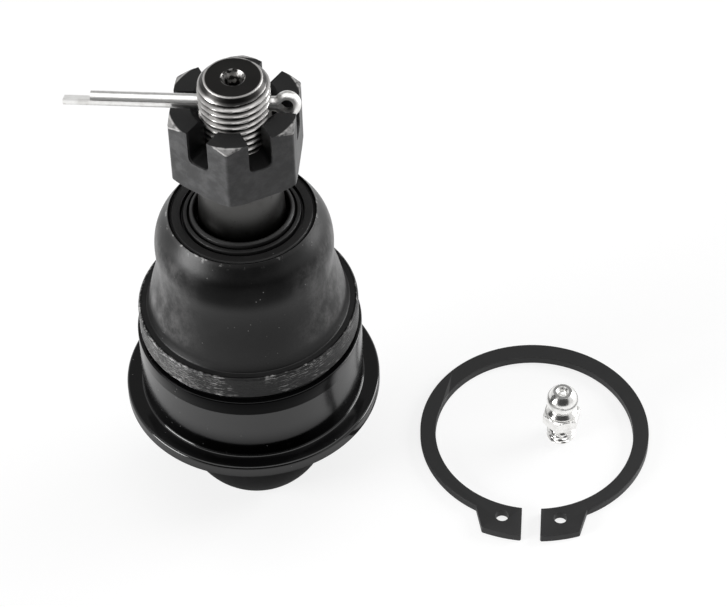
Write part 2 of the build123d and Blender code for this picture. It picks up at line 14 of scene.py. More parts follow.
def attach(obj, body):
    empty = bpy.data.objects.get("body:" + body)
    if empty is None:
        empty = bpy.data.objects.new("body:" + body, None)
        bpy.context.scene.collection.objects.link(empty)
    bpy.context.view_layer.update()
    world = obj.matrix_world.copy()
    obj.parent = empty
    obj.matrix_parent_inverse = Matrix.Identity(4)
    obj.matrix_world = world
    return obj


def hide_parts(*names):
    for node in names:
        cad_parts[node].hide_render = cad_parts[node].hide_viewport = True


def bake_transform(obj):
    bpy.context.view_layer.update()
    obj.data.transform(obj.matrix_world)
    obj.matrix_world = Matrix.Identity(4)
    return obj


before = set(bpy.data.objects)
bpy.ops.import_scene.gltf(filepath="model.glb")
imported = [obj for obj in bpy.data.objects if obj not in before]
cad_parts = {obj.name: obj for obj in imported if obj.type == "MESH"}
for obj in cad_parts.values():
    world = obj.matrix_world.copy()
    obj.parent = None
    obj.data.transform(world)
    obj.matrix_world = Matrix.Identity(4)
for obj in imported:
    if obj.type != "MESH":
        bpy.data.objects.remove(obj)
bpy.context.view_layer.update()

MM = 0.001
REST_PLACE = "rest_place"
WELD = 2e-7
CAD_WELD = 1e-6
FLAT_ANGLE = math.radians(0.4)
EDGE_ANGLE = math.radians(30.0)
STRAIGHT = math.pi - 1e-3
LONGEST_CUT_SHARE = 0.49
WHITE = (1.0, 1.0, 1.0, 1.0)
log = logging.getLogger("ball_joint")
Point2 = tuple[float, float]
Point3 = tuple[float, float, float]
Span = tuple[float, float]
Colour = tuple[float, float, float]


class Shading(Enum):
    """How faces meet: rounded everywhere, or creased where they turn sharply."""

    SOFT = 180.0
    CREASED = 38.0
    CRISP = 24.0


# Curves and surfaces worked out with numpy


def rounded(points: list[Point3], closed: bool = True, steps: int = 5) -> np.ndarray:
    """Outline whose corners are circular arcs.

    Each corner P with radius r is cut back along both sides by t = r * tan(turn / 2), and the
    arc between the two cuts is the circle of radius r that touches both sides.

    Args:
        points: corners as (radius, height, corner radius), in millimetres.
        closed: whether the last corner joins the first.
        steps: points on each arc, less one.

    Returns:
        The outline as an array of (radius, height).
    """
    corners = np.array([p[:2] for p in points], float)
    radii = [p[2] for p in points]
    count = len(corners)
    out: list[np.ndarray] = []
    for i in range(count):
        if radii[i] <= 0 or (not closed and i in (0, count - 1)):
            out.append(corners[i][None])
            continue
        before = corners[i - 1] - corners[i]
        after = corners[(i + 1) % count] - corners[i]
        long_before, long_after = np.linalg.norm(before), np.linalg.norm(after)
        before, after = before / long_before, after / long_after
        bend = math.acos(float(np.clip(before @ after, -1, 1)))
        if bend > STRAIGHT:
            out.append(corners[i][None])
            continue
        cut_back = min(radii[i] / math.tan(bend / 2), LONGEST_CUT_SHARE * min(long_before, long_after))
        radius = cut_back * math.tan(bend / 2)
        middle = (before + after) / np.linalg.norm(before + after)
        centre = corners[i] + middle * radius / math.sin(bend / 2)
        start, stop = corners[i] + before * cut_back - centre, corners[i] + after * cut_back - centre
        swing = math.atan2(start[0] * stop[1] - start[1] * stop[0], start @ stop)
        turn = np.linspace(0, swing, steps + 1)
        arc = np.stack(
            [
                start[0] * np.cos(turn) - start[1] * np.sin(turn),
                start[0] * np.sin(turn) + start[1] * np.cos(turn),
            ],
            axis=1,
        )
        out.append(centre + arc)
    return np.concatenate(out)


def spline(points: list[Point2], steps: int = 8) -> np.ndarray:
    """Natural cubic through the points, on a parameter that grows with the chord.

    The second derivatives M solve the tridiagonal system of a natural spline, and between two
    knots the curve is the cubic that has the knots' values and those second derivatives.

    Args:
        points: knots as (radius, height).
        steps: parts into which each stretch is cut.

    Returns:
        The curve's points, both ends included.
    """
    knots = np.array(points, float)
    gap = np.linalg.norm(np.diff(knots, axis=0), axis=1)
    count = len(knots)
    system = np.eye(count)
    right = np.zeros_like(knots)
    inner = np.arange(1, count - 1)
    system[inner, inner - 1] = gap[:-1]
    system[inner, inner] = 2 * (gap[:-1] + gap[1:])
    system[inner, inner + 1] = gap[1:]
    rise = np.diff(knots, axis=0) / gap[:, None]
    right[1:-1] = 6 * np.diff(rise, axis=0)
    curve = np.linalg.solve(system, right)
    share = np.linspace(0, 1, steps, endpoint=False)[:, None]
    out = []
    for i in range(count - 1):
        rest = 1 - share
        bulge = (rest**3 - rest) * curve[i] + (share**3 - share) * curve[i + 1]
        out.append(rest * knots[i] + share * knots[i + 1] + bulge * gap[i] ** 2 / 6)
    return np.concatenate(out + [knots[-1:]])


def circle_arc(radius: float, height: float, start: float, stop: float, count: int) -> np.ndarray:
    """Arc (radius * cos a, height + radius * sin a) of a circle centred on the axis, for even angles a."""
    swing = np.linspace(start, stop, count)
    return np.stack([radius * np.cos(swing), height + radius * np.sin(swing)], axis=1)


def dense(profile: np.ndarray, longest: float, closed: bool = True) -> np.ndarray:
    """Profile whose stretches are cut evenly so that none is longer than `longest` millimetres.

    Args:
        profile: its points, one row each, in millimetres.
        longest: the longest stretch allowed.
        closed: whether the last point joins the first.

    Returns:
        The points with the new ones between them.
    """
    ends = np.roll(profile, -1, axis=0) if closed else profile[1:]
    starts = profile if closed else profile[:-1]
    out = []
    for a, b in zip(starts, ends):
        parts = max(1, math.ceil(float(np.linalg.norm(b - a)) / longest))
        share = np.linspace(0, 1, parts, endpoint=False)[:, None]
        out.append(a + (b - a) * share)
    if not closed:
        out.append(profile[-1:])
    return np.concatenate(out)


def swept(radius: np.ndarray, height: np.ndarray, turn: np.ndarray) -> np.ndarray:
    """Points (radius * cos turn, radius * sin turn, height), for arrays that spread over one another."""
    return np.stack([radius * np.cos(turn), radius * np.sin(turn), height + 0 * turn], axis=-1)


def around(segments: int) -> np.ndarray:
    """Even angles round a full turn in radians, as a column."""
    return np.linspace(0, 2 * math.pi, segments, endpoint=False)[:, None]


def grid_faces(rows: int, columns: int, wrap_rows: bool, wrap_columns: bool) -> np.ndarray:
    """Quads of a grid of points stored row by row, closed on itself where asked.

    Args:
        rows: how many rows there are.
        columns: how many points a row holds.
        wrap_rows: whether the last row joins the first.
        wrap_columns: whether the last column joins the first.

    Returns:
        The quads, four point numbers each.
    """
    r = np.arange(rows if wrap_rows else rows - 1)
    c = np.arange(columns if wrap_columns else columns - 1)
    r, c = np.meshgrid(r, c, indexing="ij")
    r2, c2 = (r + 1) % rows, (c + 1) % columns
    quads = np.stack([r * columns + c, r * columns + c2, r2 * columns + c2, r2 * columns + c], axis=-1)
    return quads.reshape(-1, 4)


def make_piece(name: str, verts: np.ndarray, faces: list, shading: Shading) -> bpy.types.Object:
    """Puts points in millimetres and faces into a new mesh, welds it and turns its faces outwards.

    Args:
        name: the piece's name.
        verts: points as an array of (x, y, z) in millimetres.
        faces: faces as lists of point numbers.
        shading: how its faces meet.

    Returns:
        The new object, at the origin, linked to the scene.
    """
    mesh = bpy.data.meshes.new(name)
    mesh.from_pydata((np.asarray(verts) * MM).tolist(), [], faces)
    obj = bpy.data.objects.new(name, mesh)
    bpy.context.scene.collection.objects.link(obj)
    finish_mesh(obj, shading)
    return obj


def finish_mesh(obj: bpy.types.Object, shading: Shading) -> None:
    """Welds doubles, drops faces without area, turns normals outwards and sets creases.

    Args:
        obj: the object whose mesh is finished.
        shading: how its faces meet.
    """
    bm = bmesh.new()
    bm.from_mesh(obj.data)
    bmesh.ops.remove_doubles(bm, verts=bm.verts, dist=WELD)
    bmesh.ops.dissolve_degenerate(bm, dist=WELD, edges=bm.edges)
    bmesh.ops.recalc_face_normals(bm, faces=bm.faces)
    bm.to_mesh(obj.data)
    bm.free()
    obj.data.polygons.foreach_set("use_smooth", [True] * len(obj.data.polygons))
    obj.data.set_sharp_from_angle(angle=math.radians(shading.value))


def revolve(
    name: str,
    profile: np.ndarray,
    segments: int,
    shading: Shading,
) -> bpy.types.Object:
    """Surface of revolution: the point (r, z) at angle t goes to (r cos t, r sin t, z).

    Args:
        name: the piece's name.
        profile: (radius, height) points in millimetres, closed on itself.
        segments: copies of the profile round the axis.
        shading: how its faces meet.

    Returns:
        The new object.
    """
    points = swept(profile[None, :, 0], profile[None, :, 1], around(segments))
    faces = grid_faces(segments, len(profile), True, True)
    return make_piece(name, points.reshape(-1, 3), faces.tolist(), shading)


def cad_copy(node: str, name: str, bevel: float) -> bpy.types.Object:
    """Copy of a node's mesh, welded, its flat faces joined, with its edges broken by a small bevel.

    Args:
        node: the node that the piece stands for.
        name: the piece's name.
        bevel: width of the broken edges in millimetres.

    Returns:
        The new object, its modifier applied.
    """
    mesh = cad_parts[node].data.copy()
    mesh.name = name
    mesh.materials.clear()
    obj = bpy.data.objects.new(name, mesh)
    bpy.context.scene.collection.objects.link(obj)
    bm = bmesh.new()
    bm.from_mesh(mesh)
    bmesh.ops.remove_doubles(bm, verts=bm.verts, dist=CAD_WELD)
    bmesh.ops.dissolve_limit(bm, angle_limit=FLAT_ANGLE, verts=bm.verts, edges=bm.edges)
    bm.to_mesh(mesh)
    bm.free()
    mesh.polygons.foreach_set("use_smooth", [True] * len(mesh.polygons))
    mesh.set_sharp_from_angle(angle=EDGE_ANGLE)
    edge = obj.modifiers.new("edge", "BEVEL")
    edge.width = bevel * MM
    edge.segments = 2
    edge.limit_method = "ANGLE"
    edge.angle_limit = EDGE_ANGLE
    edge.use_clamp_overlap = True
    edge.harden_normals = True
    apply_modifiers(obj)
    return obj


def apply_modifiers(obj: bpy.types.Object) -> None:
    """Replaces the object's mesh by its evaluated one and removes the modifiers.

    Args:
        obj: the object that has them.
    """
    graph = bpy.context.evaluated_depsgraph_get()
    graph.update()
    final = bpy.data.meshes.new_from_object(obj.evaluated_get(graph))
    old = obj.data
    obj.modifiers.clear()
    obj.data = final
    final.name = obj.name
    bpy.data.meshes.remove(old)


def cut(obj: bpy.types.Object, tool: bpy.types.Object, shading: Shading) -> None:
    """Takes the closed tool out of the object and deletes the tool.

    Args:
        obj: the object that is cut.
        tool: the closed object that is taken out of it.
        shading: how the faces meet afterwards.
    """
    knife = obj.modifiers.new("cut", "BOOLEAN")
    knife.operation = "DIFFERENCE"
    knife.solver = "EXACT"
    knife.object = tool
    apply_modifiers(obj)
    bpy.data.objects.remove(tool)
    finish_mesh(obj, shading)


# Shader maths


class Signal:
    """A shader socket that holds a number, with the usual operators."""

    def __init__(self, shader: "Shader", socket: bpy.types.NodeSocket) -> None:
        """Keeps the socket and the shader it belongs to."""
        self.shader = shader
        self.socket = socket

    def _with(self, operation: str, *others: "Signal | float") -> "Signal":
        """Adds a Math node that takes this signal first."""
        return self.shader.maths(operation, self, *others)

    def __add__(self, other: "Signal | float") -> "Signal":
        """Sum."""
        return self._with("ADD", other)

    __radd__ = __add__

    def __mul__(self, other: "Signal | float") -> "Signal":
        """Product."""
        return self._with("MULTIPLY", other)

    __rmul__ = __mul__

    def __sub__(self, other: "Signal | float") -> "Signal":
        """Difference."""
        return self._with("SUBTRACT", other)

    def __rsub__(self, other: float) -> "Signal":
        """Difference from a number."""
        return self.shader.maths("SUBTRACT", other, self)

    def __truediv__(self, other: "Signal | float") -> "Signal":
        """Quotient."""
        return self._with("DIVIDE", other)

    def __abs__(self) -> "Signal":
        """Size without sign."""
        return self._with("ABSOLUTE")

    def least(self, other: "Signal | float") -> "Signal":
        """The smaller of the two."""
        return self._with("MINIMUM", other)

    def step(self, low: float, high: float) -> "Signal":
        """Smooth step: 0 below `low`, 1 above `high`; turned over when low is above high.

        Args:
            low: the value at which it is 0.
            high: the value at which it is 1.

        Returns:
            The step, 0 to 1.
        """
        node = self.shader.add(
            "ShaderNodeMapRange",
            {"interpolation_type": "SMOOTHSTEP", "clamp": True},
            {"Value": self, "From Min": low, "From Max": high, "To Min": 0.0, "To Max": 1.0},
        )
        return Signal(self.shader, node.outputs["Result"])

    def within(self, start: Span, end: Span) -> "Signal":
        """1 between two places: it rises over the span `start` and falls over the span `end`."""
        return self.step(*start) * self.step(end[1], end[0])


class Shader:
    """One material under construction; its lengths and places are in millimetres."""

    def __init__(self, name: str, attribute: str = "") -> None:
        """Makes an empty node material.

        Args:
            name: the material's name.
            attribute: name of the stored place that is read instead of Object coordinates, if any.
        """
        self.material = bpy.data.materials.new(name)
        self.material.use_nodes = True
        self.tree = self.material.node_tree
        self.tree.nodes.clear()
        self.output = self.add("ShaderNodeOutputMaterial", {}, {})
        if attribute:
            self.place = self.add("ShaderNodeAttribute", {"attribute_name": attribute}, {}).outputs["Vector"]
        else:
            self.place = self.add("ShaderNodeTexCoord", {}, {}).outputs["Object"]

    def add(self, kind: str, settings: dict, inputs: dict) -> bpy.types.Node:
        """Adds a node.

        Args:
            kind: the node's type.
            settings: its own settings, set first.
            inputs: values or links by socket name or number.

        Returns:
            The node.
        """
        node = self.tree.nodes.new(kind)
        for key, value in settings.items():
            setattr(node, key, value)
        for key, value in inputs.items():
            socket = node.inputs[key]
            if isinstance(value, Signal):
                self.tree.links.new(value.socket, socket)
            elif isinstance(value, bpy.types.NodeSocket):
                self.tree.links.new(value, socket)
            else:
                socket.default_value = value
        return node

    def maths(self, operation: str, *terms: "Signal | float") -> Signal:
        """A Math node on these terms."""
        node = self.add("ShaderNodeMath", {"operation": operation}, dict(enumerate(terms)))
        return Signal(self, node.outputs[0])

    def ray(self, kind: str) -> Signal:
        """1 for the rays of one kind: Camera, Glossy or Transmission."""
        return Signal(self, self.add("ShaderNodeLightPath", {}, {}).outputs[f"Is {kind} Ray"])

    def axis(self, name: str) -> Signal:
        """One coordinate of the place on the object."""
        node = self.add("ShaderNodeSeparateXYZ", {}, {0: self.place})
        return Signal(self, node.outputs[name]) / MM

    def across(self) -> Signal:
        """Distance from the object's upright axis."""
        x, y = self.axis("X"), self.axis("Y")
        return self.maths("SQRT", x * x + y * y)

    def bearing(self) -> Signal:
        """Angle round the object's upright axis, in radians."""
        return self.maths("ARCTAN2", self.axis("Y"), self.axis("X"))

    def height(self) -> Signal:
        """Height over the surface that the object stands on."""
        return self.axis("Z")

    def vector(self, x: "Signal | float", y: "Signal | float", z: "Signal | float") -> bpy.types.NodeSocket:
        """Three numbers as one vector."""
        return self.add("ShaderNodeCombineXYZ", {}, {0: x, 1: y, 2: z}).outputs[0]

    def stretched(self, x: float, y: float, z: float) -> bpy.types.NodeSocket:
        """The place with its axes scaled, to draw a pattern out along one of them."""
        return self.add("ShaderNodeMapping", {}, {"Vector": self.place, "Scale": (x, y, z)}).outputs[0]

    def unrolled(self, radius: float, squash: float) -> bpy.types.NodeSocket:
        """The place unrolled round the axis: angle times `radius` and height times `squash`."""
        return self.vector(self.bearing() * (radius * MM), self.height() * (squash * MM), 0.0)

    def noise(
        self, size: float, detail: float = 4.0, rough: float = 0.5, at: "bpy.types.NodeSocket | None" = None
    ) -> Signal:
        """Noise with blotches about `size` across.

        Args:
            size: how wide a blotch is.
            detail: how many finer layers are added.
            rough: how strong each finer layer is.
            at: the vector to read it at, if not the place.

        Returns:
            The noise, about 0 to 1.
        """
        node = self.add(
            "ShaderNodeTexNoise",
            {},
            {
                "Vector": at or self.place,
                "Scale": 1.0 / (size * MM),
                "Detail": detail,
                "Roughness": rough,
            },
        )
        return Signal(self, node.outputs[0])

    def cells(self, size: float) -> Signal:
        """Distance to the nearest of scattered points about `size` apart, as a share of it."""
        inputs = {"Vector": self.place, "Scale": 1.0 / (size * MM)}
        return Signal(self, self.add("ShaderNodeTexVoronoi", {"feature": "F1"}, inputs).outputs["Distance"])

    def edge_wear(self, low: float, high: float) -> Signal:
        """How much a place stands out as an edge, from the mesh's pointiness."""
        node = self.add("ShaderNodeNewGeometry", {}, {})
        return Signal(self, node.outputs["Pointiness"]).step(low, high)

    def blend(
        self, share: Signal, a: "Colour | bpy.types.NodeSocket", b: "Colour | bpy.types.NodeSocket"
    ) -> bpy.types.NodeSocket:
        """Colour between a, where the share is 0, and b, where it is 1.

        Args:
            share: how much of b there is, 0 to 1.
            a: a colour or a socket that gives one.
            b: the same.

        Returns:
            The socket of the blended colour.
        """
        pair = [(*c, 1.0) if isinstance(c, tuple) else c for c in (a, b)]
        node = self.add("ShaderNodeMix", {"data_type": "RGBA"}, {0: share, 6: pair[0], 7: pair[1]})
        return node.outputs[2]

    def bump(
        self, height: Signal, depth: float, after: "bpy.types.NodeSocket | None" = None
    ) -> bpy.types.NodeSocket:
        """Normal of a relief in which 0 to 1 is `depth`, laid over the relief `after` where there is one.

        Args:
            height: the relief, 0 to 1.
            depth: its full height in millimetres.
            after: the normal of another relief under it.

        Returns:
            The socket of the normal.
        """
        inputs = {"Height": height, "Distance": depth * MM, "Strength": 1.0}
        if after is not None:
            inputs["Normal"] = after
        return self.add("ShaderNodeBump", {}, inputs).outputs[0]

    def finish(self, **inputs: object) -> bpy.types.Material:
        """Adds the Principled shader with these inputs.

        Args:
            **inputs: the shader's inputs by name, with underscores for spaces.

        Returns:
            The material.
        """
        names = {key: key.replace("_", " ").title() for key in inputs}
        names.update({"ior": "IOR"})
        values = {}
        for key, value in inputs.items():
            values[names[key]] = (*value, 1.0) if isinstance(value, tuple) else value
        shader = self.add("ShaderNodeBsdfPrincipled", {}, values)
        self.tree.links.new(shader.outputs[0], self.output.inputs[0])
        return self.material


class Sky(Shader):
    """The world's shader: its place is the direction that a ray leaves in."""

    def __init__(self, world: bpy.types.World) -> None:
        """Empties the world's nodes and gives them an output.

        Args:
            world: the scene's world.
        """
        world.use_nodes = True
        self.tree = world.node_tree
        self.tree.nodes.clear()
        self.output = self.add("ShaderNodeOutputWorld", {}, {})
        self.place = self.add("ShaderNodeTexCoord", {}, {}).outputs["Generated"]

    def towards(self, x: float, y: float, z: float) -> Signal:
        """How closely the direction follows (x, y, z): the cosine between them."""
        node = self.add("ShaderNodeVectorMath", {"operation": "DOT_PRODUCT"}, {0: self.place, 1: (x, y, z)})
        return Signal(self, node.outputs["Value"])


# Finishes


def shade(colour: Colour, share: float) -> Colour:
    """The colour with each channel times `share`."""
    return tuple(share * channel for channel in colour)


@dataclass(frozen=True)
class GlossBlack:
    """Black electrocoat on the turned housing: wet gloss, with a hazy film between two bands of painted
    shade.
    """

    name: str = "gloss_black"
    colour: Colour = (0.003, 0.003, 0.0032)
    film: Colour = (0.016, 0.016, 0.0165)
    dusty: Colour = (0.20, 0.20, 0.20)
    wall_start: Span = (22.3, 22.6)
    wall_end: Span = (23.1, 23.4)
    unshaded_start: Span = (-0.80, -0.66)
    unshaded_end: Span = (1.60, 1.75)
    shade_band_start: Span = (40.28, 40.52)
    film_start: Span = (30.6, 33.6)
    foot_shade_start: Span = (28.2, 28.6)
    foot_shade_end: Span = (30.0, 35.6)
    foot_shade_share: float = 0.75
    film_thinnest: float = 0.75
    speck_size: Span = (0.12, 0.04)
    speck_patches: Span = (0.50, 0.62)
    speck_share: float = 0.6
    lint_patches: Span = (0.62, 0.80)
    lint_share: float = 0.06
    gloss: float = 0.07
    cloud_haze: float = 0.05
    film_haze: float = 0.09
    shade_band_haze: float = 0.10
    dust_haze: float = 0.35
    peel_depth: float = 0.004

    def make(self) -> bpy.types.Material:
        """Film and the bands of painted shade are told apart by height, and the right side has no painted
        shade.

        Returns:
            The material.
        """
        s = Shader(self.name)
        z, r, turn = s.height(), s.across(), s.bearing()
        peel = s.noise(1.6, detail=2.0)
        cloud = s.noise(9.0, detail=3.0)
        wall = r.within(self.wall_start, self.wall_end)
        # Painted shade: on the front and left, a band at the wall's top and another at its foot are made
        # metallic black, so they reflect nothing and stay dark.
        shade_side = wall * (1.0 - turn.within(self.unshaded_start, self.unshaded_end))
        shade_band = shade_side * z.step(*self.shade_band_start)
        foot_shade = shade_side * z.within(self.foot_shade_start, self.foot_shade_end)
        film = wall * z.step(*self.film_start) * (1.0 - shade_band)
        specks = s.cells(1.7).step(*self.speck_size) * s.noise(6.0, detail=2.0).step(*self.speck_patches)
        lint = s.noise(3.0, detail=6.0, rough=0.7, at=s.stretched(1, 1, 0.12)).step(*self.lint_patches)
        dust = (specks * self.speck_share + lint * self.lint_share).least(1.0)
        thickness = self.film_thinnest + (1.0 - self.film_thinnest) * cloud
        colour = s.blend(film * thickness, self.colour, self.film)
        haze = cloud * self.cloud_haze + film * self.film_haze + shade_band * self.shade_band_haze + dust * self.dust_haze
        return s.finish(
            base_color=s.blend(dust, colour, self.dusty),
            # metallic black here is the painted shade of the two bands
            metallic=(shade_band + foot_shade * self.foot_shade_share).least(1.0),
            roughness=haze + self.gloss,
            normal=s.bump(peel, self.peel_depth),
        )


@dataclass(frozen=True)
class MattBlack:
    """Thin matt black coat on the drawn cover, slightly streaked by the drawing."""

    name: str = "matt_black"
    colour: Colour = (0.005, 0.005, 0.0052)
    streaked: Colour = (0.012, 0.012, 0.0125)
    streak_patches: Span = (0.45, 0.80)
    roughness: float = 0.30
    streak_haze: float = 0.14
    ior: float = 1.38
    grain_depth: float = 0.012

    def make(self) -> bpy.types.Material:
        """Builds the material's nodes.

        Returns:
            The material.
        """
        s = Shader(self.name)
        streak = s.noise(2.0, rough=0.6, at=s.stretched(1, 1, 0.2))
        grain = s.noise(0.35, detail=3.0)
        return s.finish(
            base_color=s.blend(streak.step(*self.streak_patches), self.colour, self.streaked),
            roughness=self.roughness + self.streak_haze * streak,
            ior=self.ior,
            normal=s.bump(grain, self.grain_depth),
        )


@dataclass(frozen=True)
class BootRubber:
    """Moulded black rubber: satin skin, pale dust and a scuffed bead, with painted sheen on its flanks,
    painted light on the small end's top and painted shade in its grooves and waist.
    """

    name: str = "boot_rubber"
    colour: Colour = (0.0055, 0.0055, 0.0056)
    bloom_and_top_light: Colour = (0.024, 0.0235, 0.0235)
    # Painted sheen: the haze colour is the lighter left and right flanks.
    haze: Colour = (0.115, 0.113, 0.113)
    scuff: Colour = (0.46, 0.455, 0.45)
    # Painted shade: the colour of the small end's grooves.
    groove: Colour = (0.001, 0.001, 0.001)
    groove_shade: tuple[tuple[Span, Span], ...] = (
        ((14.00, 14.25), (14.40, 14.65)),
        ((11.45, 11.65), (12.00, 12.20)),
        ((10.25, 10.43), (10.67, 10.85)),
    )
    top_start: Span = (74.2, 74.8)
    lip_height: Span = (74.0, 74.7)
    lip_reach: Span = (14.1, 14.6)
    lip_patches: Span = (0.56, 0.66)
    lip_share: float = 0.5
    wall_start: Span = (52.0, 54.0)
    wall_end: Span = (70.0, 73.0)
    sheen_side_reach: Span = (7.0, 18.0)
    sheen_mottle_patches: Span = (0.34, 0.74)
    waist_shade_start: Span = (64.0, 67.5)
    waist_shade_end: Span = (71.0, 73.0)
    waist_shade_at_sides: float = 0.3
    waist_shade_share: float = 0.85
    bloom_patches: Span = (0.35, 0.80)
    bloom_share: float = 0.30
    top_light: float = 0.55
    speck_size: Span = (0.11, 0.03)
    speck_patches: Span = (0.50, 0.66)
    speck_share: float = 0.4
    bead_reach: Span = (21.4, 21.7)
    bead_top_edge: Span = (48.7, 49.8)
    bead_low_edge: Span = (46.3, 45.5)
    scuff_patches: Span = (0.42, 0.58)
    streak_patches: Span = (0.55, 0.62)
    top_patches: Span = (0.52, 0.66)
    low_patches: Span = (0.50, 0.66)
    rub_reach: Span = (-4.0, -13.0)
    rub_patches: Span = (0.46, 0.60)
    rub_spread: float = 0.6
    streak_share: float = 1.1
    top_share: float = 0.6
    rub_share: float = 0.5
    scuff_share: float = 0.82
    roughness: float = 0.26
    roughest: float = 0.8
    cloud_haze: float = 0.20
    scuff_haze: float = 0.20
    ior: float = 1.36
    grain_depth: float = 0.018
    bead_depth: float = 0.16

    def scuffs(self, s: Shader, on_bead: Signal, ragged: Signal, fine: Signal) -> Signal:
        """How much the bead is rubbed pale: fine streaks in patches, ragged edges, and a rubbed left side.

        Args:
            s: the shader that holds the nodes.
            on_bead: 1 on the bead's outside.
            ragged: coarse noise drawn out round the bead.
            fine: fine noise drawn out round the bead.

        Returns:
            The share of scuffed rubber.
        """
        z = s.height()
        rub = s.axis("X").step(*self.rub_reach) * s.noise(
            0.7, detail=5.0, rough=0.7, at=s.unrolled(21.5, 2.2)
        ).step(*self.rub_patches)
        patch = s.noise(5.0, detail=2.0).step(*self.scuff_patches)
        streaks = fine.step(*self.streak_patches) * self.streak_share
        top_edge = z.step(*self.bead_top_edge) * ragged.step(*self.top_patches) * self.top_share
        low_edge = z.step(*self.bead_low_edge) * ragged.step(*self.low_patches)
        marks = streaks + top_edge + low_edge + rub * self.rub_share
        return on_bead * (patch + rub * self.rub_spread).least(1.0) * marks

    def make(self) -> bpy.types.Material:
        """Painted sheen lightens the left and right flanks, painted light the small end's top, and painted
        shade keeps the grooves black and darkens the waist.

        Returns:
            The material.
        """
        s = Shader(self.name, REST_PLACE)
        z, r = s.height(), s.across()
        cloud = s.noise(7.0, detail=5.0, rough=0.6)
        grain = s.noise(0.5, detail=3.0, rough=0.6)
        sheen_mottle = s.noise(3.2, detail=6.0, rough=0.7, at=s.stretched(1, 1, 0.8))
        ragged = s.noise(1.7, detail=5.0, rough=0.65, at=s.unrolled(21.5, 2.2))
        fine = s.noise(0.8, detail=5.0, rough=0.65, at=s.unrolled(8.0, 3.2))
        on_bead = r.step(*self.bead_reach)
        scuffs = self.scuffs(s, on_bead, ragged, fine)
        specks = s.cells(1.5).step(*self.speck_size) * s.noise(5.0, detail=2.0).step(*self.speck_patches)
        # Painted sheen on the left and right flanks of the wall, mottled by noise.
        sheen_sides = abs(s.axis("X")).step(*self.sheen_side_reach)
        wall = z.within(self.wall_start, self.wall_end)
        # Painted shade in the waist: partly metallic black so that it reflects little; it is weaker on the
        # left and right flanks.
        waist_shade = z.within(self.waist_shade_start, self.waist_shade_end) * (1.0 - sheen_sides * (1.0 - self.waist_shade_at_sides))
        top = z.step(*self.top_start)
        worn_lip = z.step(*self.lip_height) * r.step(*self.lip_reach)
        worn_lip = worn_lip * s.noise(1.4, rough=0.6).step(*self.lip_patches)
        # Painted shade: the small end's grooves are coloured near black and made metallic, so they reflect
        # nothing.
        groove_shade = top * sum(r.within(*edges) for edges in self.groove_shade)
        # Bloom in random patches, plus painted light on the small end's top face.
        bloom_and_top_light = (cloud.step(*self.bloom_patches) * self.bloom_share + top * self.top_light).least(1.0)
        colour = s.blend(bloom_and_top_light, self.colour, self.bloom_and_top_light)
        colour = s.blend((wall * sheen_sides * sheen_mottle.step(*self.sheen_mottle_patches)).least(1.0), colour, self.haze)
        pale = (specks * self.speck_share + worn_lip * self.lip_share).least(1.0)
        colour = s.blend(pale, colour, self.scuff)
        colour = s.blend((scuffs * self.scuff_share).least(1.0), colour, self.scuff)
        roughness = self.roughness + self.cloud_haze * cloud + self.scuff_haze * scuffs
        return s.finish(
            base_color=s.blend(groove_shade, colour, self.groove),
            # metallic black is the painted shade of the grooves and the waist
            metallic=(groove_shade + waist_shade * self.waist_shade_share).least(1.0),
            roughness=roughness.least(self.roughest),
            ior=self.ior,
            normal=s.bump(grain, self.grain_depth, s.bump((ragged + fine) * on_bead, self.bead_depth)),
        )


@dataclass(frozen=True)
class StudSteel:
    """Turned alloy steel: bright crests on the thread, a dull grey taper with painted shade towards its foot,
    and a dark end face with a painted glint on its rim and painted glints in its centre hole.
    """

    name: str = "stud_steel"
    bright: Colour = (0.47, 0.46, 0.45)
    dull: Colour = (0.085, 0.084, 0.082)
    dark: Colour = (0.030, 0.029, 0.028)
    taper_shade_height: Span = (74.0, 84.0)
    thread_start: Span = (88.7, 89.3)
    end_start: Span = (110.15, 110.35)
    crest_reach: Span = (6.1, 6.8)
    glint_start: Span = (5.15, 5.40)
    glint_end: Span = (5.60, 5.80)
    glint_patches: Span = (0.30, 0.45)
    glint_cone_reach: Span = (2.45, 2.25)
    glint_cone_start: Span = (105.0, 106.0)
    glint_cone_patches: Span = (0.42, 0.54)
    stain_patches: Span = (0.58, 0.72)
    stain_share: float = 0.55
    cloud_patches: Span = (0.50, 0.90)
    cloud_share: float = 0.3
    roughness: float = 0.24
    cloud_haze: float = 0.16
    end_haze: float = 0.10
    glint_haze: float = 0.15
    turning_depth: float = 0.012

    def make(self) -> bpy.types.Material:
        """Places are told apart by height and by distance from the axis.

        Returns:
            The material.
        """
        s = Shader(self.name)
        z, r = s.height(), s.across()
        turning = s.noise(0.25, detail=2.0, at=s.vector(r * MM, z * MM, 0.0))
        cloud = s.noise(3.0, detail=5.0, rough=0.6)
        on_end = z.step(*self.end_start)
        # Painted glint on the rim between the end face and the chamfer.
        rim = r.within(self.glint_start, self.glint_end) * on_end
        # Painted glints in patches inside the centre hole.
        cone = r.step(*self.glint_cone_reach) * z.step(*self.glint_cone_start)
        cone = cone * s.noise(1.2, detail=2.0).step(*self.glint_cone_patches)
        # Painted shade: the taper darkens towards its foot, down inside the boot.
        taper_shade = s.blend(z.step(*self.taper_shade_height), self.dark, self.dull)
        thread = s.blend(r.step(*self.crest_reach), self.dark, self.bright)
        colour = s.blend(z.step(*self.thread_start), taper_shade, thread)
        colour = s.blend(on_end, colour, self.dark)
        colour = s.blend(cone, colour, self.bright)
        colour = s.blend((rim * cloud.step(*self.glint_patches)).least(1.0), colour, self.bright)
        stain = s.noise(1.3, rough=0.6).step(*self.stain_patches) * self.stain_share
        stain = (stain + cloud.step(*self.cloud_patches) * self.cloud_share).least(1.0) * (1.0 - rim)
        return s.finish(
            base_color=s.blend(stain, colour, self.dark),
            metallic=1.0,
            roughness=self.roughness + self.cloud_haze * cloud + self.end_haze * on_end + self.glint_haze * rim,
            normal=s.bump(turning, self.turning_depth),
        )


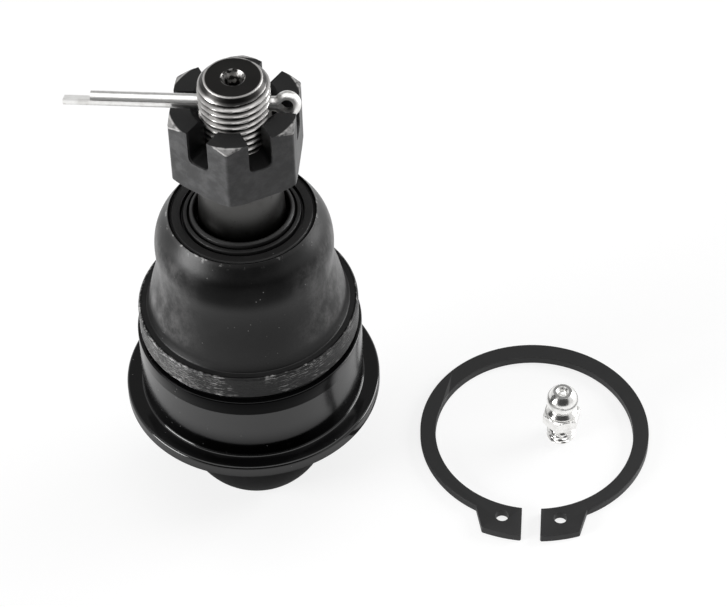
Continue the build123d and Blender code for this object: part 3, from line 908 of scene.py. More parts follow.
@dataclass(frozen=True)
class Phosphate:
    """Dark phosphate on the hexagon nut: matt crystal grain, oily inside, top faces painted darker as shade,
    pale where spanners rub it and painted highlights along the chamfer's edges.
    """

    name: str = "nut_phosphate"
    colour: Colour = (0.052, 0.052, 0.053)
    # Pale colour of spanner rub, also used for painted highlights along the chamfer's edges.
    rubbed: Colour = (0.60, 0.59, 0.58)
    deep: float = 0.75
    pale: float = 1.7
    oily_and_shaded: float = 0.15
    shade_patches: Span = (0.35, 0.70)
    top: float = 104.1
    chamfer_angle: float = 30.0
    shoulder: float = 12.5
    corner_reach: Span = (12.40, 12.55)
    facet_depth: Span = (0.14, 0.08)
    facet_share: float = 0.30
    arris_start: Span = (-0.02, 0.06)
    arris_end: Span = (0.34, 0.50)
    lip_height: Span = (103.90, 104.05)
    lip_reach: Span = (12.25, 12.45)
    lip_share: float = 0.5
    wear_and_glint_patches: Span = (0.30, 0.52)
    wear_and_glint_share: float = 0.8
    inside_reach: Span = (11.65, 11.35)
    top_start: Span = (103.98, 104.06)
    roughness: float = 0.42
    cloud_haze: float = 0.12
    ior: float = 1.38
    grain_depth: float = 0.014

    def make(self) -> bpy.types.Material:
        """Wear and painted highlights run where the chamfer meets the top and the six sides.

        Returns:
            The material.
        """
        s = Shader(self.name)
        z, r = s.height(), s.across()
        cloud = s.noise(2.6, detail=5.0, rough=0.65)
        grain = s.noise(0.30, detail=3.0, rough=0.7)
        below = self.top - (r - self.shoulder) * math.tan(math.radians(self.chamfer_angle)) - z
        # Rub and painted highlights on the corners, along the chamfer's edge and round the top's lip.
        corner = r.step(*self.corner_reach)
        facet = corner * below.step(*self.facet_depth) * self.facet_share
        arris = corner * below.within(self.arris_start, self.arris_end)
        lip = z.step(*self.lip_height) * r.step(*self.lip_reach) * self.lip_share
        wear = (facet + arris + lip).least(1.0) * s.noise(1.4).step(*self.wear_and_glint_patches)
        # Oil darkens the inside, and painted shade darkens the top faces.
        oil_and_top_shade = (r.step(*self.inside_reach) + z.step(*self.top_start)).least(1.0)
        clouded = cloud.step(*self.shade_patches)
        colour = s.blend(clouded, shade(self.colour, self.deep), shade(self.colour, self.pale))
        colour = s.blend(oil_and_top_shade, colour, shade(self.colour, self.oily_and_shaded))
        return s.finish(
            base_color=s.blend((wear * self.wear_and_glint_share).least(1.0), colour, self.rubbed),
            roughness=self.roughness + self.cloud_haze * cloud,
            ior=self.ior,
            normal=s.bump(grain, self.grain_depth),
        )


@dataclass(frozen=True)
class ZincPlate:
    """Bright zinc on small parts: mirror-like with fine tool marks."""

    name: str = "zinc_plate"
    colour: Colour = (0.94, 0.935, 0.92)
    clouded: Colour = (0.72, 0.71, 0.69)
    cloud_patches: Span = (0.40, 0.80)
    roughness: float = 0.30
    cloud_haze: float = 0.14
    mark_depth: float = 0.006

    def make(self) -> bpy.types.Material:
        """Builds the material's nodes.

        Returns:
            The material.
        """
        s = Shader(self.name)
        cloud = s.noise(2.2, detail=5.0, rough=0.6)
        marks = s.noise(0.22, detail=3.0, rough=0.6)
        return s.finish(
            base_color=s.blend(cloud.step(*self.cloud_patches), self.colour, self.clouded),
            metallic=1.0,
            roughness=self.roughness + self.cloud_haze * cloud,
            normal=s.bump(marks, self.mark_depth),
        )


@dataclass(frozen=True)
class SpringSteel:
    """Blackened spring steel: satin, a little scratched."""

    name: str = "spring_steel"
    colour: Colour = (0.008, 0.008, 0.0083)
    rubbed: Colour = (0.14, 0.14, 0.14)
    scratch_patches: Span = (0.66, 0.78)
    scratch_share: float = 0.35
    worn_edges: Span = (0.53, 0.62)
    edge_share: float = 0.5
    roughness: float = 0.42
    cloud_haze: float = 0.14
    metal: float = 0.2
    grain_depth: float = 0.010

    def make(self) -> bpy.types.Material:
        """Builds the material's nodes.

        Returns:
            The material.
        """
        s = Shader(self.name)
        cloud = s.noise(5.0, rough=0.6)
        scratch = s.noise(0.8, detail=5.0, rough=0.75, at=s.stretched(0.25, 1.4, 1.0))
        grain = s.noise(0.4, detail=3.0)
        wear = scratch.step(*self.scratch_patches) * self.scratch_share
        wear = wear + s.edge_wear(*self.worn_edges) * self.edge_share
        return s.finish(
            base_color=s.blend(wear.least(1.0), self.colour, self.rubbed),
            metallic=self.metal,
            roughness=self.roughness + self.cloud_haze * cloud,
            normal=s.bump(grain, self.grain_depth),
        )


@dataclass(frozen=True)
class SinteredIron:
    """Oil-soaked sintered iron of the hidden bearing shells."""

    name: str = "sintered_iron"
    colour: Colour = (0.30, 0.28, 0.26)
    pore: Colour = (0.10, 0.09, 0.08)
    pore_size: Span = (0.35, 0.10)
    pore_share: float = 0.7
    metal: float = 0.8
    roughness: float = 0.45
    pore_haze: float = 0.1
    pore_depth: float = 0.02

    def make(self) -> bpy.types.Material:
        """Builds the material's nodes.

        Returns:
            The material.
        """
        s = Shader(self.name)
        pores = s.cells(0.35).step(*self.pore_size)
        return s.finish(
            base_color=s.blend(pores * self.pore_share, self.colour, self.pore),
            metallic=self.metal,
            roughness=self.roughness + self.pore_haze * pores,
            normal=s.bump(1 - pores, self.pore_depth),
        )


# Sub-assemblies


def store_place(obj: bpy.types.Object) -> None:
    """Stores each vertex's place at rest, so that a pattern doesn't slide when the piece bends.

    Args:
        obj: the object whose mesh gets the attribute.
    """
    mesh = obj.data
    place = np.empty(len(mesh.vertices) * 3, dtype=np.float32)
    mesh.vertices.foreach_get("co", place)
    mesh.attributes.new(REST_PLACE, "FLOAT_VECTOR", "POINT").data.foreach_set("vector", place)


def dress(obj: bpy.types.Object, material: bpy.types.Material) -> None:
    """Gives the object this material alone."""
    obj.data.materials.clear()
    obj.data.materials.append(material)


def settle(obj: bpy.types.Object, body: str, node: str, material: bpy.types.Material) -> None:
    """Dresses a piece, hides the node that it replaces, and lets it ride.

    Args:
        obj: the piece.
        body: the body that it rides on.
        node: the node that it replaces.
        material: its finish.
    """
    dress(obj, material)
    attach(obj, body)
    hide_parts(node)
    log.info("%s rides on %s, %d faces", obj.name, body, len(obj.data.polygons))


@dataclass
class Body:
    """Housing with its flange, press-fit wall and snap ring groove, and the cover crimped under it."""

    wall: float = 22.65
    flange: float = 26.0
    flange_low: float = 25.0
    flange_top: float = 27.8
    groove: float = 21.25
    groove_low: float = 43.8
    groove_top: float = 45.75
    collar: float = 21.55
    collar_top: float = 46.75
    land: float = 19.8
    top: float = 49.65
    throat_top: float = 15.5
    throat_low: float = 11.4
    roof: float = 39.4
    bore: float = 17.0
    boss: float = 20.2
    lip_low: float = 22.6
    rim: float = 17.6
    rim_low: float = 24.0
    rim_top: float = 25.6
    lip: float = 15.7
    cup: float = 15.25
    cup_inner: float = 13.75
    dome_centre: float = 13.044
    port: float = 2.5
    port_outer: float = 4.4
    port_height: float = 5.0
    floor: float = 1.5
    boss_chamfer: float = 0.5
    lip_corner: float = 0.3
    boss_corner: float = 0.2
    root_corner: float = 0.15
    flange_low_corner: float = 0.5
    flange_top_corner: float = 0.55
    foot_fillet: float = 0.4
    wall_corner: float = 0.3
    land_corner: float = 0.4
    turned_corner: float = 0.1
    rim_corner: float = 0.05
    corner_steps: int = 6
    dome_steps: int = 28
    hollow_steps: int = 20
    longest: float = 2.0
    housing_segments: int = 224
    cover_segments: int = 160

    def housing(self) -> bpy.types.Object:
        """The turned housing: one closed profile with every corner broken, revolved.

        Returns:
            The new object, not dressed yet.
        """
        outline = rounded(
            [
                (self.lip, self.lip_low, self.lip_corner),
                (self.boss - self.boss_chamfer, self.lip_low, self.boss_corner),
                (self.boss, self.lip_low + self.boss_chamfer, self.boss_corner),
                (self.boss, self.flange_low, self.root_corner),
                (self.flange, self.flange_low, self.flange_low_corner),
                (self.flange, self.flange_top, self.flange_top_corner),
                (self.wall, self.flange_top, self.foot_fillet),
                (self.wall, self.groove_low, self.wall_corner),
                (self.groove, self.groove_low, self.turned_corner),
                (self.groove, self.groove_top, self.turned_corner),
                (self.collar, self.groove_top, self.turned_corner),
                (self.collar, self.collar_top, self.turned_corner),
                (self.land, self.collar_top, self.turned_corner),
                (self.land, self.top, self.land_corner),
                (self.throat_top, self.top, self.land_corner),
                (self.throat_low, self.roof, self.turned_corner),
                (self.bore, self.roof, self.turned_corner),
                (self.bore, self.rim_top, self.turned_corner),
                (self.rim, self.rim_top, 0.0),
                (self.rim, self.rim_low, self.rim_corner),
                (self.lip, self.rim_low, self.turned_corner),
            ],
            steps=self.corner_steps,
        )
        outline = dense(outline, self.longest)
        return revolve("housing_body", outline, self.housing_segments, Shading.CREASED)

    def cover(self) -> bpy.types.Object:
        """The drawn cover: sphere, straight wall and rim outside, the same less a wall inside.

        Returns:
            The new object, not dressed yet.
        """
        flat = math.asin(self.dome_centre / self.cup)
        inner = math.asin((self.dome_centre - self.floor) / self.cup_inner)
        dome = circle_arc(self.cup, self.dome_centre, -flat, 0, self.dome_steps)
        hollow = circle_arc(self.cup_inner, self.dome_centre, 0, -inner, self.hollow_steps)
        rim = [
            (self.cup, self.rim_low),
            (self.rim, self.rim_low),
            (self.rim, self.rim_top),
            (self.cup_inner, self.rim_top),
        ]
        boss = [
            (self.port_outer, self.floor),
            (self.port_outer, self.port_height),
            (self.port, self.port_height),
            (self.port, 0.0),
        ]
        outline = np.concatenate([boss, dome, rim, hollow])
        return revolve("cover_cup", outline, self.cover_segments, Shading.CREASED)

    def build(self, coat: bpy.types.Material, matt: bpy.types.Material) -> None:
        """Makes and dresses both."""
        settle(self.housing(), "housing", "housing", coat)
        settle(self.cover(), "housing", "end_cover", matt)


@dataclass
class Boot:
    """Rubber boot: thick bead, waisted wall, ringed small end with a sleeve inside."""

    bead: float = 22.1
    bead_low: float = 45.0
    bead_top: float = 50.3
    skirt: float = 21.63
    collar_top: float = 46.83
    wall: float = 1.9
    hole: float = 9.4
    lip_top: float = 76.35
    face: float = 75.15
    outer: tuple[Point2, ...] = (
        (20.1, 50.3), (19.05, 55.5), (17.6, 62.5), (17.65, 67.2), (16.95, 70.9), (14.5, 75.15),
    )
    ring_low: float = 47.15
    ring_top: float = 49.45
    ring_inner: float = 19.85
    ring_outer: float = 20.75
    sleeve: float = 12.0
    sleeve_low: float = 64.1
    roof: float = 70.9
    top_ring_low: float = 65.6
    top_ring_top: float = 71.1
    top_ring_inner: float = 9.15
    top_ring_outer: float = 10.05
    land_top: float = 49.73
    rings: tuple[Point3, ...] = (
        (14.25, 0.0, 0.1), (14.1, -0.5, 0.1), (13.7, -0.15, 0.1), (12.15, -0.15, 0.15), (12.0, -1.1, 0.15),
        (11.6, -1.1, 0.15), (11.45, 0.0, 0.15), (10.75, 0.2, 0.12), (10.65, -0.5, 0.1), (10.4, -0.5, 0.1),
        (10.25, 0.6, 0.15),
    )
    corner: float = 0.1
    bead_low_corner: float = 0.35
    bead_top_corner: float = 0.6
    root_fillet: float = 0.25
    lip_corner: float = 0.3
    lip_fall: float = 1.2
    lip_flare: float = 0.5
    lip_step: float = 0.1
    sleeve_corner: float = 0.6
    roof_fillet: float = 0.8
    shoulder_fillet: float = 0.5
    ring_corner: float = 0.2
    side_steps: int = 10
    inside_steps: int = 8
    longest: float = 1.2
    segments: int = 224

    def skin(self) -> np.ndarray:
        """Closed section of the boot, its free edges rounded.

        `outer` holds the knots of its side, and `rings` the small end's points as (radius, height over
        the face, corner radius). The side's spline gives up its first two and last three points to the
        rounded edges.

        Returns:
            The section's (radius, height) points in millimetres, closed on itself.
        """
        root, flank = self.outer[0], self.outer[1]
        edge = rounded(
            [
                (self.skirt, self.bead_low, self.corner),
                (self.bead, self.bead_low, self.bead_low_corner),
                (self.bead, self.bead_top, self.bead_top_corner),
                (root[0] + self.root_fillet, self.bead_top, self.root_fillet),
                (*flank, 0.0),
            ],
            closed=False,
        )[:-1]
        side = spline(list(self.outer), self.side_steps)[2:-3]
        top = rounded(
            [
                (self.outer[-1][0] + self.lip_flare, self.face - self.lip_fall, 0.0),
                (self.outer[-1][0] + self.lip_step, self.face, self.lip_corner),
                *((radius, self.face + rise, corner) for radius, rise, corner in self.rings),
                (self.hole, self.lip_top, self.lip_corner),
                (self.hole, self.top_ring_top, self.ring_corner),
                (self.top_ring_outer, self.top_ring_top, 0.0),
                (self.top_ring_outer, self.top_ring_low, 0.0),
                (self.top_ring_inner, self.top_ring_low, self.corner),
                (self.top_ring_inner, self.sleeve_low, self.lip_corner),
                (self.sleeve, self.sleeve_low, self.sleeve_corner),
                (self.sleeve, self.roof, self.roof_fillet),
                (self.outer[4][0] - self.wall, self.roof, self.shoulder_fillet),
                (self.outer[3][0] - self.wall, self.outer[3][1], 0.0),
            ],
            closed=False,
        )[1:-1]
        inside = spline([(r - self.wall, z) for r, z in self.outer[3::-1]], self.inside_steps)
        base = rounded(
            [
                (root[0] - self.wall, self.bead_top, 0.0),
                (root[0] - self.wall, self.land_top, self.ring_corner),
                (self.ring_inner, self.land_top, self.corner),
                (self.ring_inner, self.ring_top, 0.0),
                (self.ring_outer, self.ring_top, 0.0),
                (self.ring_outer, self.ring_low, 0.0),
                (self.ring_inner, self.ring_low, 0.0),
                (self.ring_inner, self.collar_top, self.corner),
                (self.skirt, self.collar_top, self.corner),
                (self.skirt, self.bead_low, 0.0),
            ],
            closed=False,
        )[1:-1]
        return dense(np.concatenate([edge, side, top, inside, base]), self.longest)

    def build(self, rubber: bpy.types.Material, steel: bpy.types.Material) -> None:
        """Makes the boot, stores its rest place, and dresses its steel rings.

        Args:
            rubber: the boot's finish.
            steel: the finish of its two rings.
        """
        boot = revolve("boot_skin", self.skin(), self.segments, Shading.CREASED)
        store_place(boot)
        dress(boot, rubber)
        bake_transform(boot)
        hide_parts("dust_boot")
        log.info("%s bends between swivel and tilt, %d faces", boot.name, len(boot.data.polygons))
        for node in ("boot_bead_ring", "boot_top_ring"):
            dress(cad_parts[node], steel)


@dataclass
class Stud:
    """Ball stud with a cut thread, and its castle nut."""

    ball: float = 13.5
    pivot: float = 31.7
    neck: float = 7.5
    flare_low: float = 56.7
    collar_low: float = 63.7
    collar: float = 9.1
    taper_low: float = 70.7
    taper_high: float = 88.1
    taper_big: float = 8.85
    taper_small: float = 7.7625
    relief: float = 6.5
    thread_low: float = 89.1
    tip: float = 110.4
    face: float = 5.5
    chamfer: float = 1.7
    thread: float = 6.92
    root: float = 6.02
    pitch: float = 1.5
    crest_front: float = 106.42
    rows: int = 14
    centre: float = 2.3
    pilot: float = 0.9
    pilot_depth: float = 2.5
    hole: float = 1.6
    hole_height: float = 104.05
    turn: float = -5.0
    ball_flat: float = 3.0
    neck_fillet: float = 1.0
    flare_fillet: float = 3.0
    collar_fillet: float = 2.0
    corner: float = 0.15
    relief_corner: float = 0.2
    centre_corner: float = 0.12
    centre_half_angle: float = 30.0
    flank_angle: float = 60.0
    crest_flat_share: float = 1 / 16
    drill_reach: float = 9.0
    drill_sides: int = 48
    ball_steps: int = 48
    segments: int = 144
    longest: float = 1.5
    nut_edge: float = 0.22

    def lower(self) -> np.ndarray:
        """Section from the ball's flat up to the relief under the thread.

        Returns:
            Its (radius, height) points in millimetres, from below upwards.
        """
        low = math.acos(self.ball_flat / self.ball)
        fillet_centre = self.ball + self.neck_fillet, self.neck + self.neck_fillet
        join = math.asin(fillet_centre[1] / fillet_centre[0])
        rise = math.sqrt(fillet_centre[0] ** 2 - fillet_centre[1] ** 2)
        ball = circle_arc(self.ball, self.pivot, -low, math.pi / 2 - join, self.ball_steps)
        neck = rounded(
            [
                (self.neck, self.pivot + rise, 0.0),
                (self.neck, self.flare_low, self.flare_fillet),
                (self.collar, self.collar_low, self.collar_fillet),
                (self.collar, self.taper_low, self.corner),
                (self.taper_big, self.taper_low, 0.0),
                (self.taper_small, self.taper_high, self.corner),
                (self.relief, self.taper_high, self.relief_corner),
                (self.relief, self.thread_low, 0.0),
            ],
            closed=False,
        )
        return dense(np.concatenate([[(0.0, ball[0][1])], ball, neck]), self.longest, closed=False)

    def screw(self, turn: np.ndarray) -> np.ndarray:
        """Thread as a height field: radius over (angle, height).

        The share of a turn f = height / pitch - angle / (2 pi) runs across one thread. Half a
        pitch away from the crest the flanks fall to the root, both ends are cut by cones, and
        the radius is never below the root.

        Args:
            turn: the angles round the axis, as a column.

        Returns:
            Points by angle and height.
        """
        stretch = self.tip - self.thread_low
        count = int(stretch / self.pitch * self.rows)
        height = np.linspace(self.thread_low, self.tip, count + 1)[None]
        f = (height - self.crest_front) / self.pitch - (turn + math.pi / 2) / (2 * math.pi)
        off = np.abs(f - np.round(f)) * self.pitch
        flank = (off - self.pitch * self.crest_flat_share) * math.tan(math.radians(self.flank_angle))
        radius = self.thread - np.clip(flank, 0, self.thread - self.root)
        slope = (self.thread - self.face) / self.chamfer
        radius = np.minimum(radius, self.face + (self.tip - height) * slope)
        radius = np.minimum(radius, self.relief + height - self.thread_low)
        return swept(radius, height, turn)

    def shank(self) -> bpy.types.Object:
        """The whole stud: revolved lower part, thread, and end face with its centre hole.

        Returns:
            The new object, not drilled or dressed yet.
        """
        turn = around(self.segments)
        depth = (self.centre - self.pilot) / math.tan(math.radians(self.centre_half_angle))
        end = rounded(
            [
                (self.face, self.tip, 0.0),
                (self.centre, self.tip, self.centre_corner),
                (self.pilot, self.tip - depth, 0.0),
                (self.pilot, self.tip - depth - self.pilot_depth, 0.0),
                (0.0, self.tip - depth - self.pilot_depth, 0.0),
            ],
            closed=False,
        )
        low, high = (swept(part[None, :, 0], part[None, :, 1], turn) for part in (self.lower()[:-1], end[1:]))
        points = np.concatenate([low, self.screw(turn), high], axis=1)
        faces = grid_faces(self.segments, points.shape[1], True, False)
        stud = make_piece("stud_shank", points.reshape(-1, 3), faces.tolist(), Shading.CREASED)
        cut(stud, self.drill(), Shading.CREASED)
        return stud

    def drill(self) -> bpy.types.Object:
        """The closed cylinder that drills the cotter hole: two circles across the stud, joined.

        Returns:
            The new object, to be cut out of the stud.
        """
        count = self.drill_sides
        along = np.array([math.cos(math.radians(self.turn)), math.sin(math.radians(self.turn)), 0.0])
        side = np.array([-along[1], along[0], 0.0])
        up = np.array([0, 0, 1.0])
        ring = around(count)
        circle = self.hole * (np.cos(ring) * side + np.sin(ring) * up) + self.hole_height * up
        ends = [circle + along * reach for reach in (-self.drill_reach, self.drill_reach)]
        faces = [[i, (i + 1) % count, count + (i + 1) % count, count + i] for i in range(count)]
        faces += [list(range(count - 1, -1, -1)), list(range(count, 2 * count))]
        return make_piece("drill", np.concatenate(ends), faces, Shading.SOFT)

    def build(self, steel: bpy.types.Material, phosphate: bpy.types.Material) -> None:
        """Makes and dresses the stud and its nut.

        Args:
            steel: the stud's finish.
            phosphate: the nut's finish.
        """
        settle(self.shank(), "stud", "ball_stud", steel)
        nut = cad_copy("castle_nut", "castle_nut_bevelled", self.nut_edge)
        settle(nut, "stud", "castle_nut", phosphate)


@dataclass
class CotterPin:
    """Half-round wire folded into an eye, both legs straight."""

    radius: float = 1.42
    gap: float = 0.05
    long_leg: float = 32.298
    short_leg: float = 27.1
    eye_start: float = 7.4
    eye: float = 1.23
    bend: float = 2.2
    roll: float = 24.0
    turn: float = -5.0
    height: float = 104.05
    flat_share: float = 0.7
    short_leg_steps: int = 30
    long_leg_steps: int = 34
    bend_steps: int = 12
    eye_steps: int = 48
    round_steps: int = 17

    def path(self) -> tuple[np.ndarray, np.ndarray]:
        """Line of the wire's flat in the pin's own plane, and its outward normals.

        One leg, an arc away from the other leg, the eye's arc back round, and the same again
        mirrored. The turn of the small arc is the one at which it meets the eye tangentially.

        Returns:
            The line's points and, for each, the normal that points away from the other leg.
        """
        swing = math.acos((self.gap + self.bend) / (self.eye + self.bend))
        middle = self.eye_start + (self.eye + self.bend) * math.sin(swing)
        leg = np.linspace(-self.short_leg, self.eye_start, self.short_leg_steps, endpoint=False)
        first = np.stack([leg, np.full_like(leg, self.gap)], axis=1)
        away = np.linspace(0, swing, self.bend_steps, endpoint=False)
        bend = np.stack(
            [self.eye_start + self.bend * np.sin(away), self.gap + self.bend * (1 - np.cos(away))], axis=1
        )
        over = np.linspace(math.pi / 2 + swing, -math.pi / 2 - swing, self.eye_steps)
        eye = np.stack([middle + self.eye * np.cos(over), self.eye * np.sin(over)], axis=1)
        back = bend[::-1] * (1, -1)
        leg = np.linspace(self.eye_start, -self.long_leg, self.long_leg_steps)[1:]
        second = np.stack([leg, np.full_like(leg, -self.gap)], axis=1)
        line = np.concatenate([first, bend, eye, back, second])
        along = np.gradient(line, axis=0)
        along /= np.linalg.norm(along, axis=1)[:, None]
        return line, np.stack([-along[:, 1], along[:, 0]], axis=1)

    def wire(self) -> bpy.types.Object:
        """Half-round section carried along the path, flat side on the line.

        The section's point (a, b) goes to line + b * outward normal + a * the pin's side.

        Returns:
            The new object, not dressed yet.
        """
        line, normal = self.path()
        arc = np.linspace(0, math.pi, self.round_steps)
        round_side = np.stack([self.radius * np.cos(arc), (self.radius - self.gap) * np.sin(arc)], axis=1)
        flat_half = self.flat_share * self.radius
        section = np.concatenate([round_side, [(-flat_half, 0), (0, 0), (flat_half, 0)]])
        phi, tip = math.radians(self.turn), math.radians(self.roll)
        along = np.array([math.cos(phi), math.sin(phi), 0.0])
        side = np.array([math.cos(tip) * math.sin(phi), -math.cos(tip) * math.cos(phi), math.sin(tip)])
        up = np.cross(side, along)
        flat = line[:, None, :] + section[None, :, 1, None] * normal[:, None, :]
        points = flat[..., :1] * along + flat[..., 1:] * up + section[None, :, :1] * side
        points = points + np.array([0, 0, self.height])
        rows, columns = points.shape[:2]
        faces = grid_faces(rows, columns, False, True).tolist()
        faces += [list(range(columns)), list(range((rows - 1) * columns, rows * columns))[::-1]]
        return make_piece("cotter_wire", points.reshape(-1, 3), faces, Shading.CREASED)

    def build(self, zinc: bpy.types.Material) -> None:
        """Makes and dresses the pin."""
        settle(self.wire(), "cotter_pin", "cotter_pin", zinc)


@dataclass
class SnapRing:
    """Loose snap ring with its plier holes, edges as stamped."""

    bevel: float = 0.14

    def build(self, steel: bpy.types.Material) -> None:
        """Makes and dresses the ring."""
        ring = cad_copy("snap_ring", "snap_ring_stamped", self.bevel)
        settle(ring, "snap_ring", "snap_ring", steel)


@dataclass
class GreaseFitting:
    """Loose grease fitting: threaded shank, hexagon, waist and head, with its ball and spring."""

    place: Point2 = (64.4, 3.9)
    turn: float = 12.0
    thread: float = 3.0
    root: float = 2.5
    pitch: float = 1.0
    thread_top: float = 5.0
    hexagon: float = 3.6
    hex_circle: float = 3.5
    hex_top: float = 7.9
    collar: float = 3.3
    waist: float = 2.425
    waist_height: float = 9.3
    head: float = 3.35
    head_height: float = 11.45
    head_low: float = -32.0
    top: float = 14.15
    dish: float = 1.35
    mouth: float = 0.9
    seat_top: float = 13.7
    seat_low: float = 13.25
    bore: float = 1.35
    crimp: float = 0.8
    crimp_top: float = 1.2
    tip_chamfer: float = 0.5
    thread_play: float = 0.02
    collar_height: float = 0.5
    dish_depth: float = 0.35
    corner: float = 0.1
    fine_corner: float = 0.05
    hex_corner: float = 0.02
    collar_corner: float = 0.15
    waist_fillet: float = 0.4
    chamfer_angle: float = 60.0
    flank_angle: float = 60.0
    crest_flat_share: float = 1 / 16
    thread_start: float = 0.4
    thread_end: float = 4.75
    shank_reach: float = 2.8
    ball_steps: int = 24
    longest: float = 0.12
    segments: int = 120

    def section(self) -> np.ndarray:
        """Turned outline from the shank's end up over the head and back down the bore.

        Returns:
            Its (radius, height) points in millimetres, closed on itself.
        """
        low, flat = math.radians(self.head_low), math.asin((self.top - self.head_height) / self.head)
        ball = circle_arc(self.head, self.head_height, low, flat, self.ball_steps)
        shank = self.thread - self.thread_play
        outside = rounded(
            [
                (self.crimp, 0.0, self.fine_corner),
                (self.thread - self.tip_chamfer, 0.0, self.corner),
                (shank, self.tip_chamfer, self.corner),
                (shank, self.thread_top, self.fine_corner),
                (self.hex_circle, self.thread_top, self.hex_corner),
                (self.hex_circle, self.hex_top, self.hex_corner),
                (self.collar, self.hex_top, self.hex_corner),
                (self.collar, self.hex_top + self.collar_height, self.collar_corner),
                (self.waist, self.waist_height, self.waist_fillet),
                *((r, z, 0.0) for r, z in ball),
                (self.dish, self.top, self.corner),
                (self.mouth, self.top - self.dish_depth, self.corner),
                (self.mouth, self.seat_top, 0.0),
                (self.bore, self.seat_low, 0.0),
                (self.bore, self.crimp_top, 0.0),
                (self.crimp, self.crimp_top, 0.0),
            ],
        )
        return dense(outside, self.longest)

    def shell(self) -> bpy.types.Object:
        """The fitting's skin: a revolved section, pushed out to the hexagon and cut by the thread.

        Between the hexagon's faces z the radius is hexagon / cos(angle off the flat's middle), trimmed
        by two cones. On the shank a thread of the stated pitch is cut in.

        Returns:
            The new object, not dressed yet.
        """
        section = self.section()
        turn = around(self.segments)
        r = np.repeat(section[None, :, 0], self.segments, axis=0)
        z = np.repeat(section[None, :, 1], self.segments, axis=0)
        off = (turn - math.radians(self.turn)) % (math.pi / 3) - math.pi / 6
        hexagon = self.hexagon / np.cos(off)
        cone = math.tan(math.radians(self.chamfer_angle))
        trim = self.hex_circle + np.minimum(z - self.thread_top, self.hex_top - z) * cone
        on_hex = (z >= self.thread_top) & (z <= self.hex_top) & (r >= self.hex_circle - self.fine_corner)
        r = np.where(on_hex, np.minimum(hexagon, np.maximum(trim, self.hex_circle)), r)
        f = z / self.pitch - turn / (2 * math.pi)
        off_crest = np.abs(f - np.round(f)) * self.pitch - self.pitch * self.crest_flat_share
        depth = np.clip(off_crest * math.tan(math.radians(self.flank_angle)), 0, self.thread - self.root)
        on_thread = (z > self.thread_start) & (z < self.thread_end) & (r > self.shank_reach)
        r = np.where(on_thread, r - depth, r)
        points = swept(r, z, turn) + np.array([*self.place, 0.0])
        faces = grid_faces(*r.shape, True, True)
        return make_piece("grease_fitting_body", points.reshape(-1, 3), faces.tolist(), Shading.CRISP)

    def build(self, zinc: bpy.types.Material, ball: bpy.types.Material) -> None:
        """Makes the fitting and dresses its ball and spring.

        Args:
            zinc: the fitting's finish.
            ball: the finish of its ball and spring.
        """
        settle(self.shell(), "grease_fitting", "grease_fitting", zinc)
        for node in ("check_ball", "check_spring"):
            dress(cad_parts[node], ball)


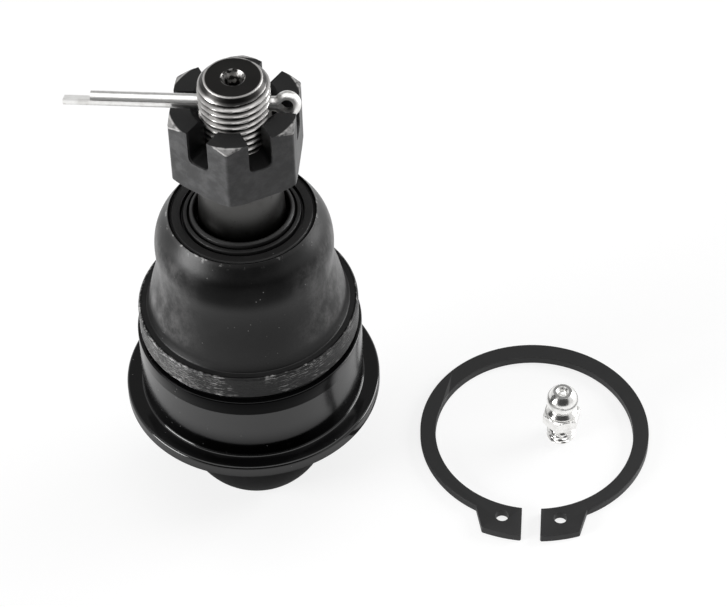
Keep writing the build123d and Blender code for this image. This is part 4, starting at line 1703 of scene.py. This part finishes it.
@dataclass
class Studio:
    """White floor, soft light and the camera that took the picture.

    A lamp is its name, its place and aim in metres, its side in metres and its power in watts.
    """

    distance: float = 667.323
    elevation: float = 47.28276
    roll: float = -1.66773
    target: Point3 = (23.0765, 43.7976, 0.0)
    focal_pixels: float = 2994.97
    width_pixels: int = 727
    sensor: float = 36.0
    clip: Span = (0.01, 100.0)
    floor_size: float = 3.0
    glow: float = 0.79
    paint: float = 0.26
    tent: float = 0.70
    dim: float = 0.05
    shadow_glow_share: float = 0.06
    shadow_reach: Span = (28.0, 56.0)
    dark_side: Point3 = (0.0, -0.85, 0.53)
    dark_cosines: Span = (0.64, 0.80)
    grey_side: Point3 = (0.0, 0.68, 0.73)
    grey_cosines: Span = (0.72, 0.90)
    grey_share: float = 0.72
    lamps: tuple[tuple[str, Point3, Point3, float, float], ...] = (
        ("top_box", (0.05, 0.00, 1.00), (0.0, 0.0, 0.05), 1.10, 5.0),
        ("right_box", (0.75, 0.26, 0.27), (0.0, 0.0, 0.06), 0.46, 5.0),
        ("left_box", (-0.76, -0.28, 0.24), (0.0, 0.0, 0.06), 0.44, 8.0),
    )

    def camera(self) -> None:
        """Places the camera: it looks from the front, down by the elevation, rolled a little."""
        tilt, lean = math.radians(self.elevation), math.radians(self.roll)
        back = Vector((0, -math.cos(tilt), math.sin(tilt)))
        right = Vector((1, 0, 0))
        up = back.cross(right)
        across = math.cos(lean) * right + math.sin(lean) * up
        above = -math.sin(lean) * right + math.cos(lean) * up
        place = (Vector(self.target) + back * self.distance) * MM
        data = bpy.data.cameras.new("camera")
        data.sensor_width = self.sensor
        data.lens = self.sensor * self.focal_pixels / self.width_pixels
        data.clip_start, data.clip_end = self.clip
        obj = bpy.data.objects.new("camera", data)
        turned = Matrix((across, above, back)).transposed().to_4x4()
        obj.matrix_world = Matrix.Translation(place) @ turned
        bpy.context.scene.collection.objects.link(obj)
        bpy.context.scene.camera = obj

    def floor(self) -> None:
        """White floor that keeps the shadows: part lit, part glowing for the camera and for mirrors, the glow
        that mirrors see dimmed near the joint as a painted shadow.
        """
        half = self.floor_size / 2
        corners = [(-half, -half, 0), (half, -half, 0), (half, half, 0), (-half, half, 0)]
        mesh = bpy.data.meshes.new("floor")
        mesh.from_pydata(corners, [], [(0, 1, 2, 3)])
        obj = bpy.data.objects.new("floor", mesh)
        bpy.context.scene.collection.objects.link(obj)
        s = Shader("white_floor")
        camera, glossy, through = s.ray("Camera"), s.ray("Glossy"), s.ray("Transmission")
        # Painted shadow: mirrors see the floor's glow dimmed near the joint, where the floor lies in shade.
        reflected_shadow = self.shadow_glow_share + (1.0 - self.shadow_glow_share) * s.across().step(*self.shadow_reach)
        seen = (camera + glossy * reflected_shadow + through).least(1.0)
        glow = s.add("ShaderNodeEmission", {}, {"Color": WHITE, "Strength": seen * self.glow})
        lit = s.add("ShaderNodeBsdfDiffuse", {}, {"Color": (self.paint, self.paint, self.paint, 1.0)})
        both = s.add("ShaderNodeAddShader", {}, {0: glow.outputs[0], 1: lit.outputs[0]})
        s.tree.links.new(both.outputs[0], s.output.inputs[0])
        dress(obj, s.material)

    def world(self) -> None:
        """Surroundings: white to the camera, and to mirrors a pale tent with a dark front and a grey back."""
        world = bpy.data.worlds.new("studio")
        bpy.context.scene.world = world
        s = Sky(world)
        camera, mirror = s.ray("Camera"), (s.ray("Glossy") + s.ray("Transmission")).least(1.0)
        back = 1.0 - self.grey_share * s.towards(*self.grey_side).step(*self.grey_cosines)
        front = 1.0 - s.towards(*self.dark_side).step(*self.dark_cosines)
        tent = self.tent * back * front + self.dim
        strength = (camera + mirror * tent + (1.0 - camera - mirror) * self.dim).least(1.0)
        shell = s.add("ShaderNodeBackground", {}, {"Color": WHITE, "Strength": strength})
        s.tree.links.new(shell.outputs[0], s.output.inputs[0])

    def light(self) -> None:
        """Soft boxes, each a square lamp turned to the joint."""
        for name, place, aim, size, power in self.lamps:
            data = bpy.data.lights.new(name, "AREA")
            data.shape = "SQUARE"
            data.size = size
            data.energy = power
            obj = bpy.data.objects.new(name, data)
            obj.location = place
            obj.rotation_euler = (Vector(aim) - Vector(place)).to_track_quat("-Z", "Y").to_euler()
            bpy.context.scene.collection.objects.link(obj)

    def build(self) -> None:
        """Sets the stage."""
        self.camera()
        self.floor()
        self.world()
        self.light()
        bpy.context.scene.view_settings.view_transform = "Standard"


def hidden_nodes() -> None:
    """Dresses the pieces that are sealed inside the joint."""
    iron, steel = SinteredIron().make(), SpringSteel(name="coil_steel", metal=0.9).make()
    for node, material in (("upper_bearing", iron), ("pressure_cup", iron), ("preload_spring", steel)):
        dress(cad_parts[node], material)


def main() -> None:
    """Builds every sub-assembly."""
    logging.basicConfig(level=logging.INFO, format="%(name)s: %(message)s")
    ring_steel = SpringSteel().make()
    zinc = ZincPlate().make()
    Body().build(GlossBlack().make(), MattBlack().make())
    Boot().build(BootRubber().make(), ring_steel)
    Stud().build(StudSteel().make(), Phosphate().make())
    CotterPin().build(zinc)
    SnapRing().build(ring_steel)
    GreaseFitting().build(ZincPlate(name="fitting_zinc", roughness=0.13).make(), zinc)
    hidden_nodes()
    Studio().build()


if __name__ == "__main__":
    main()
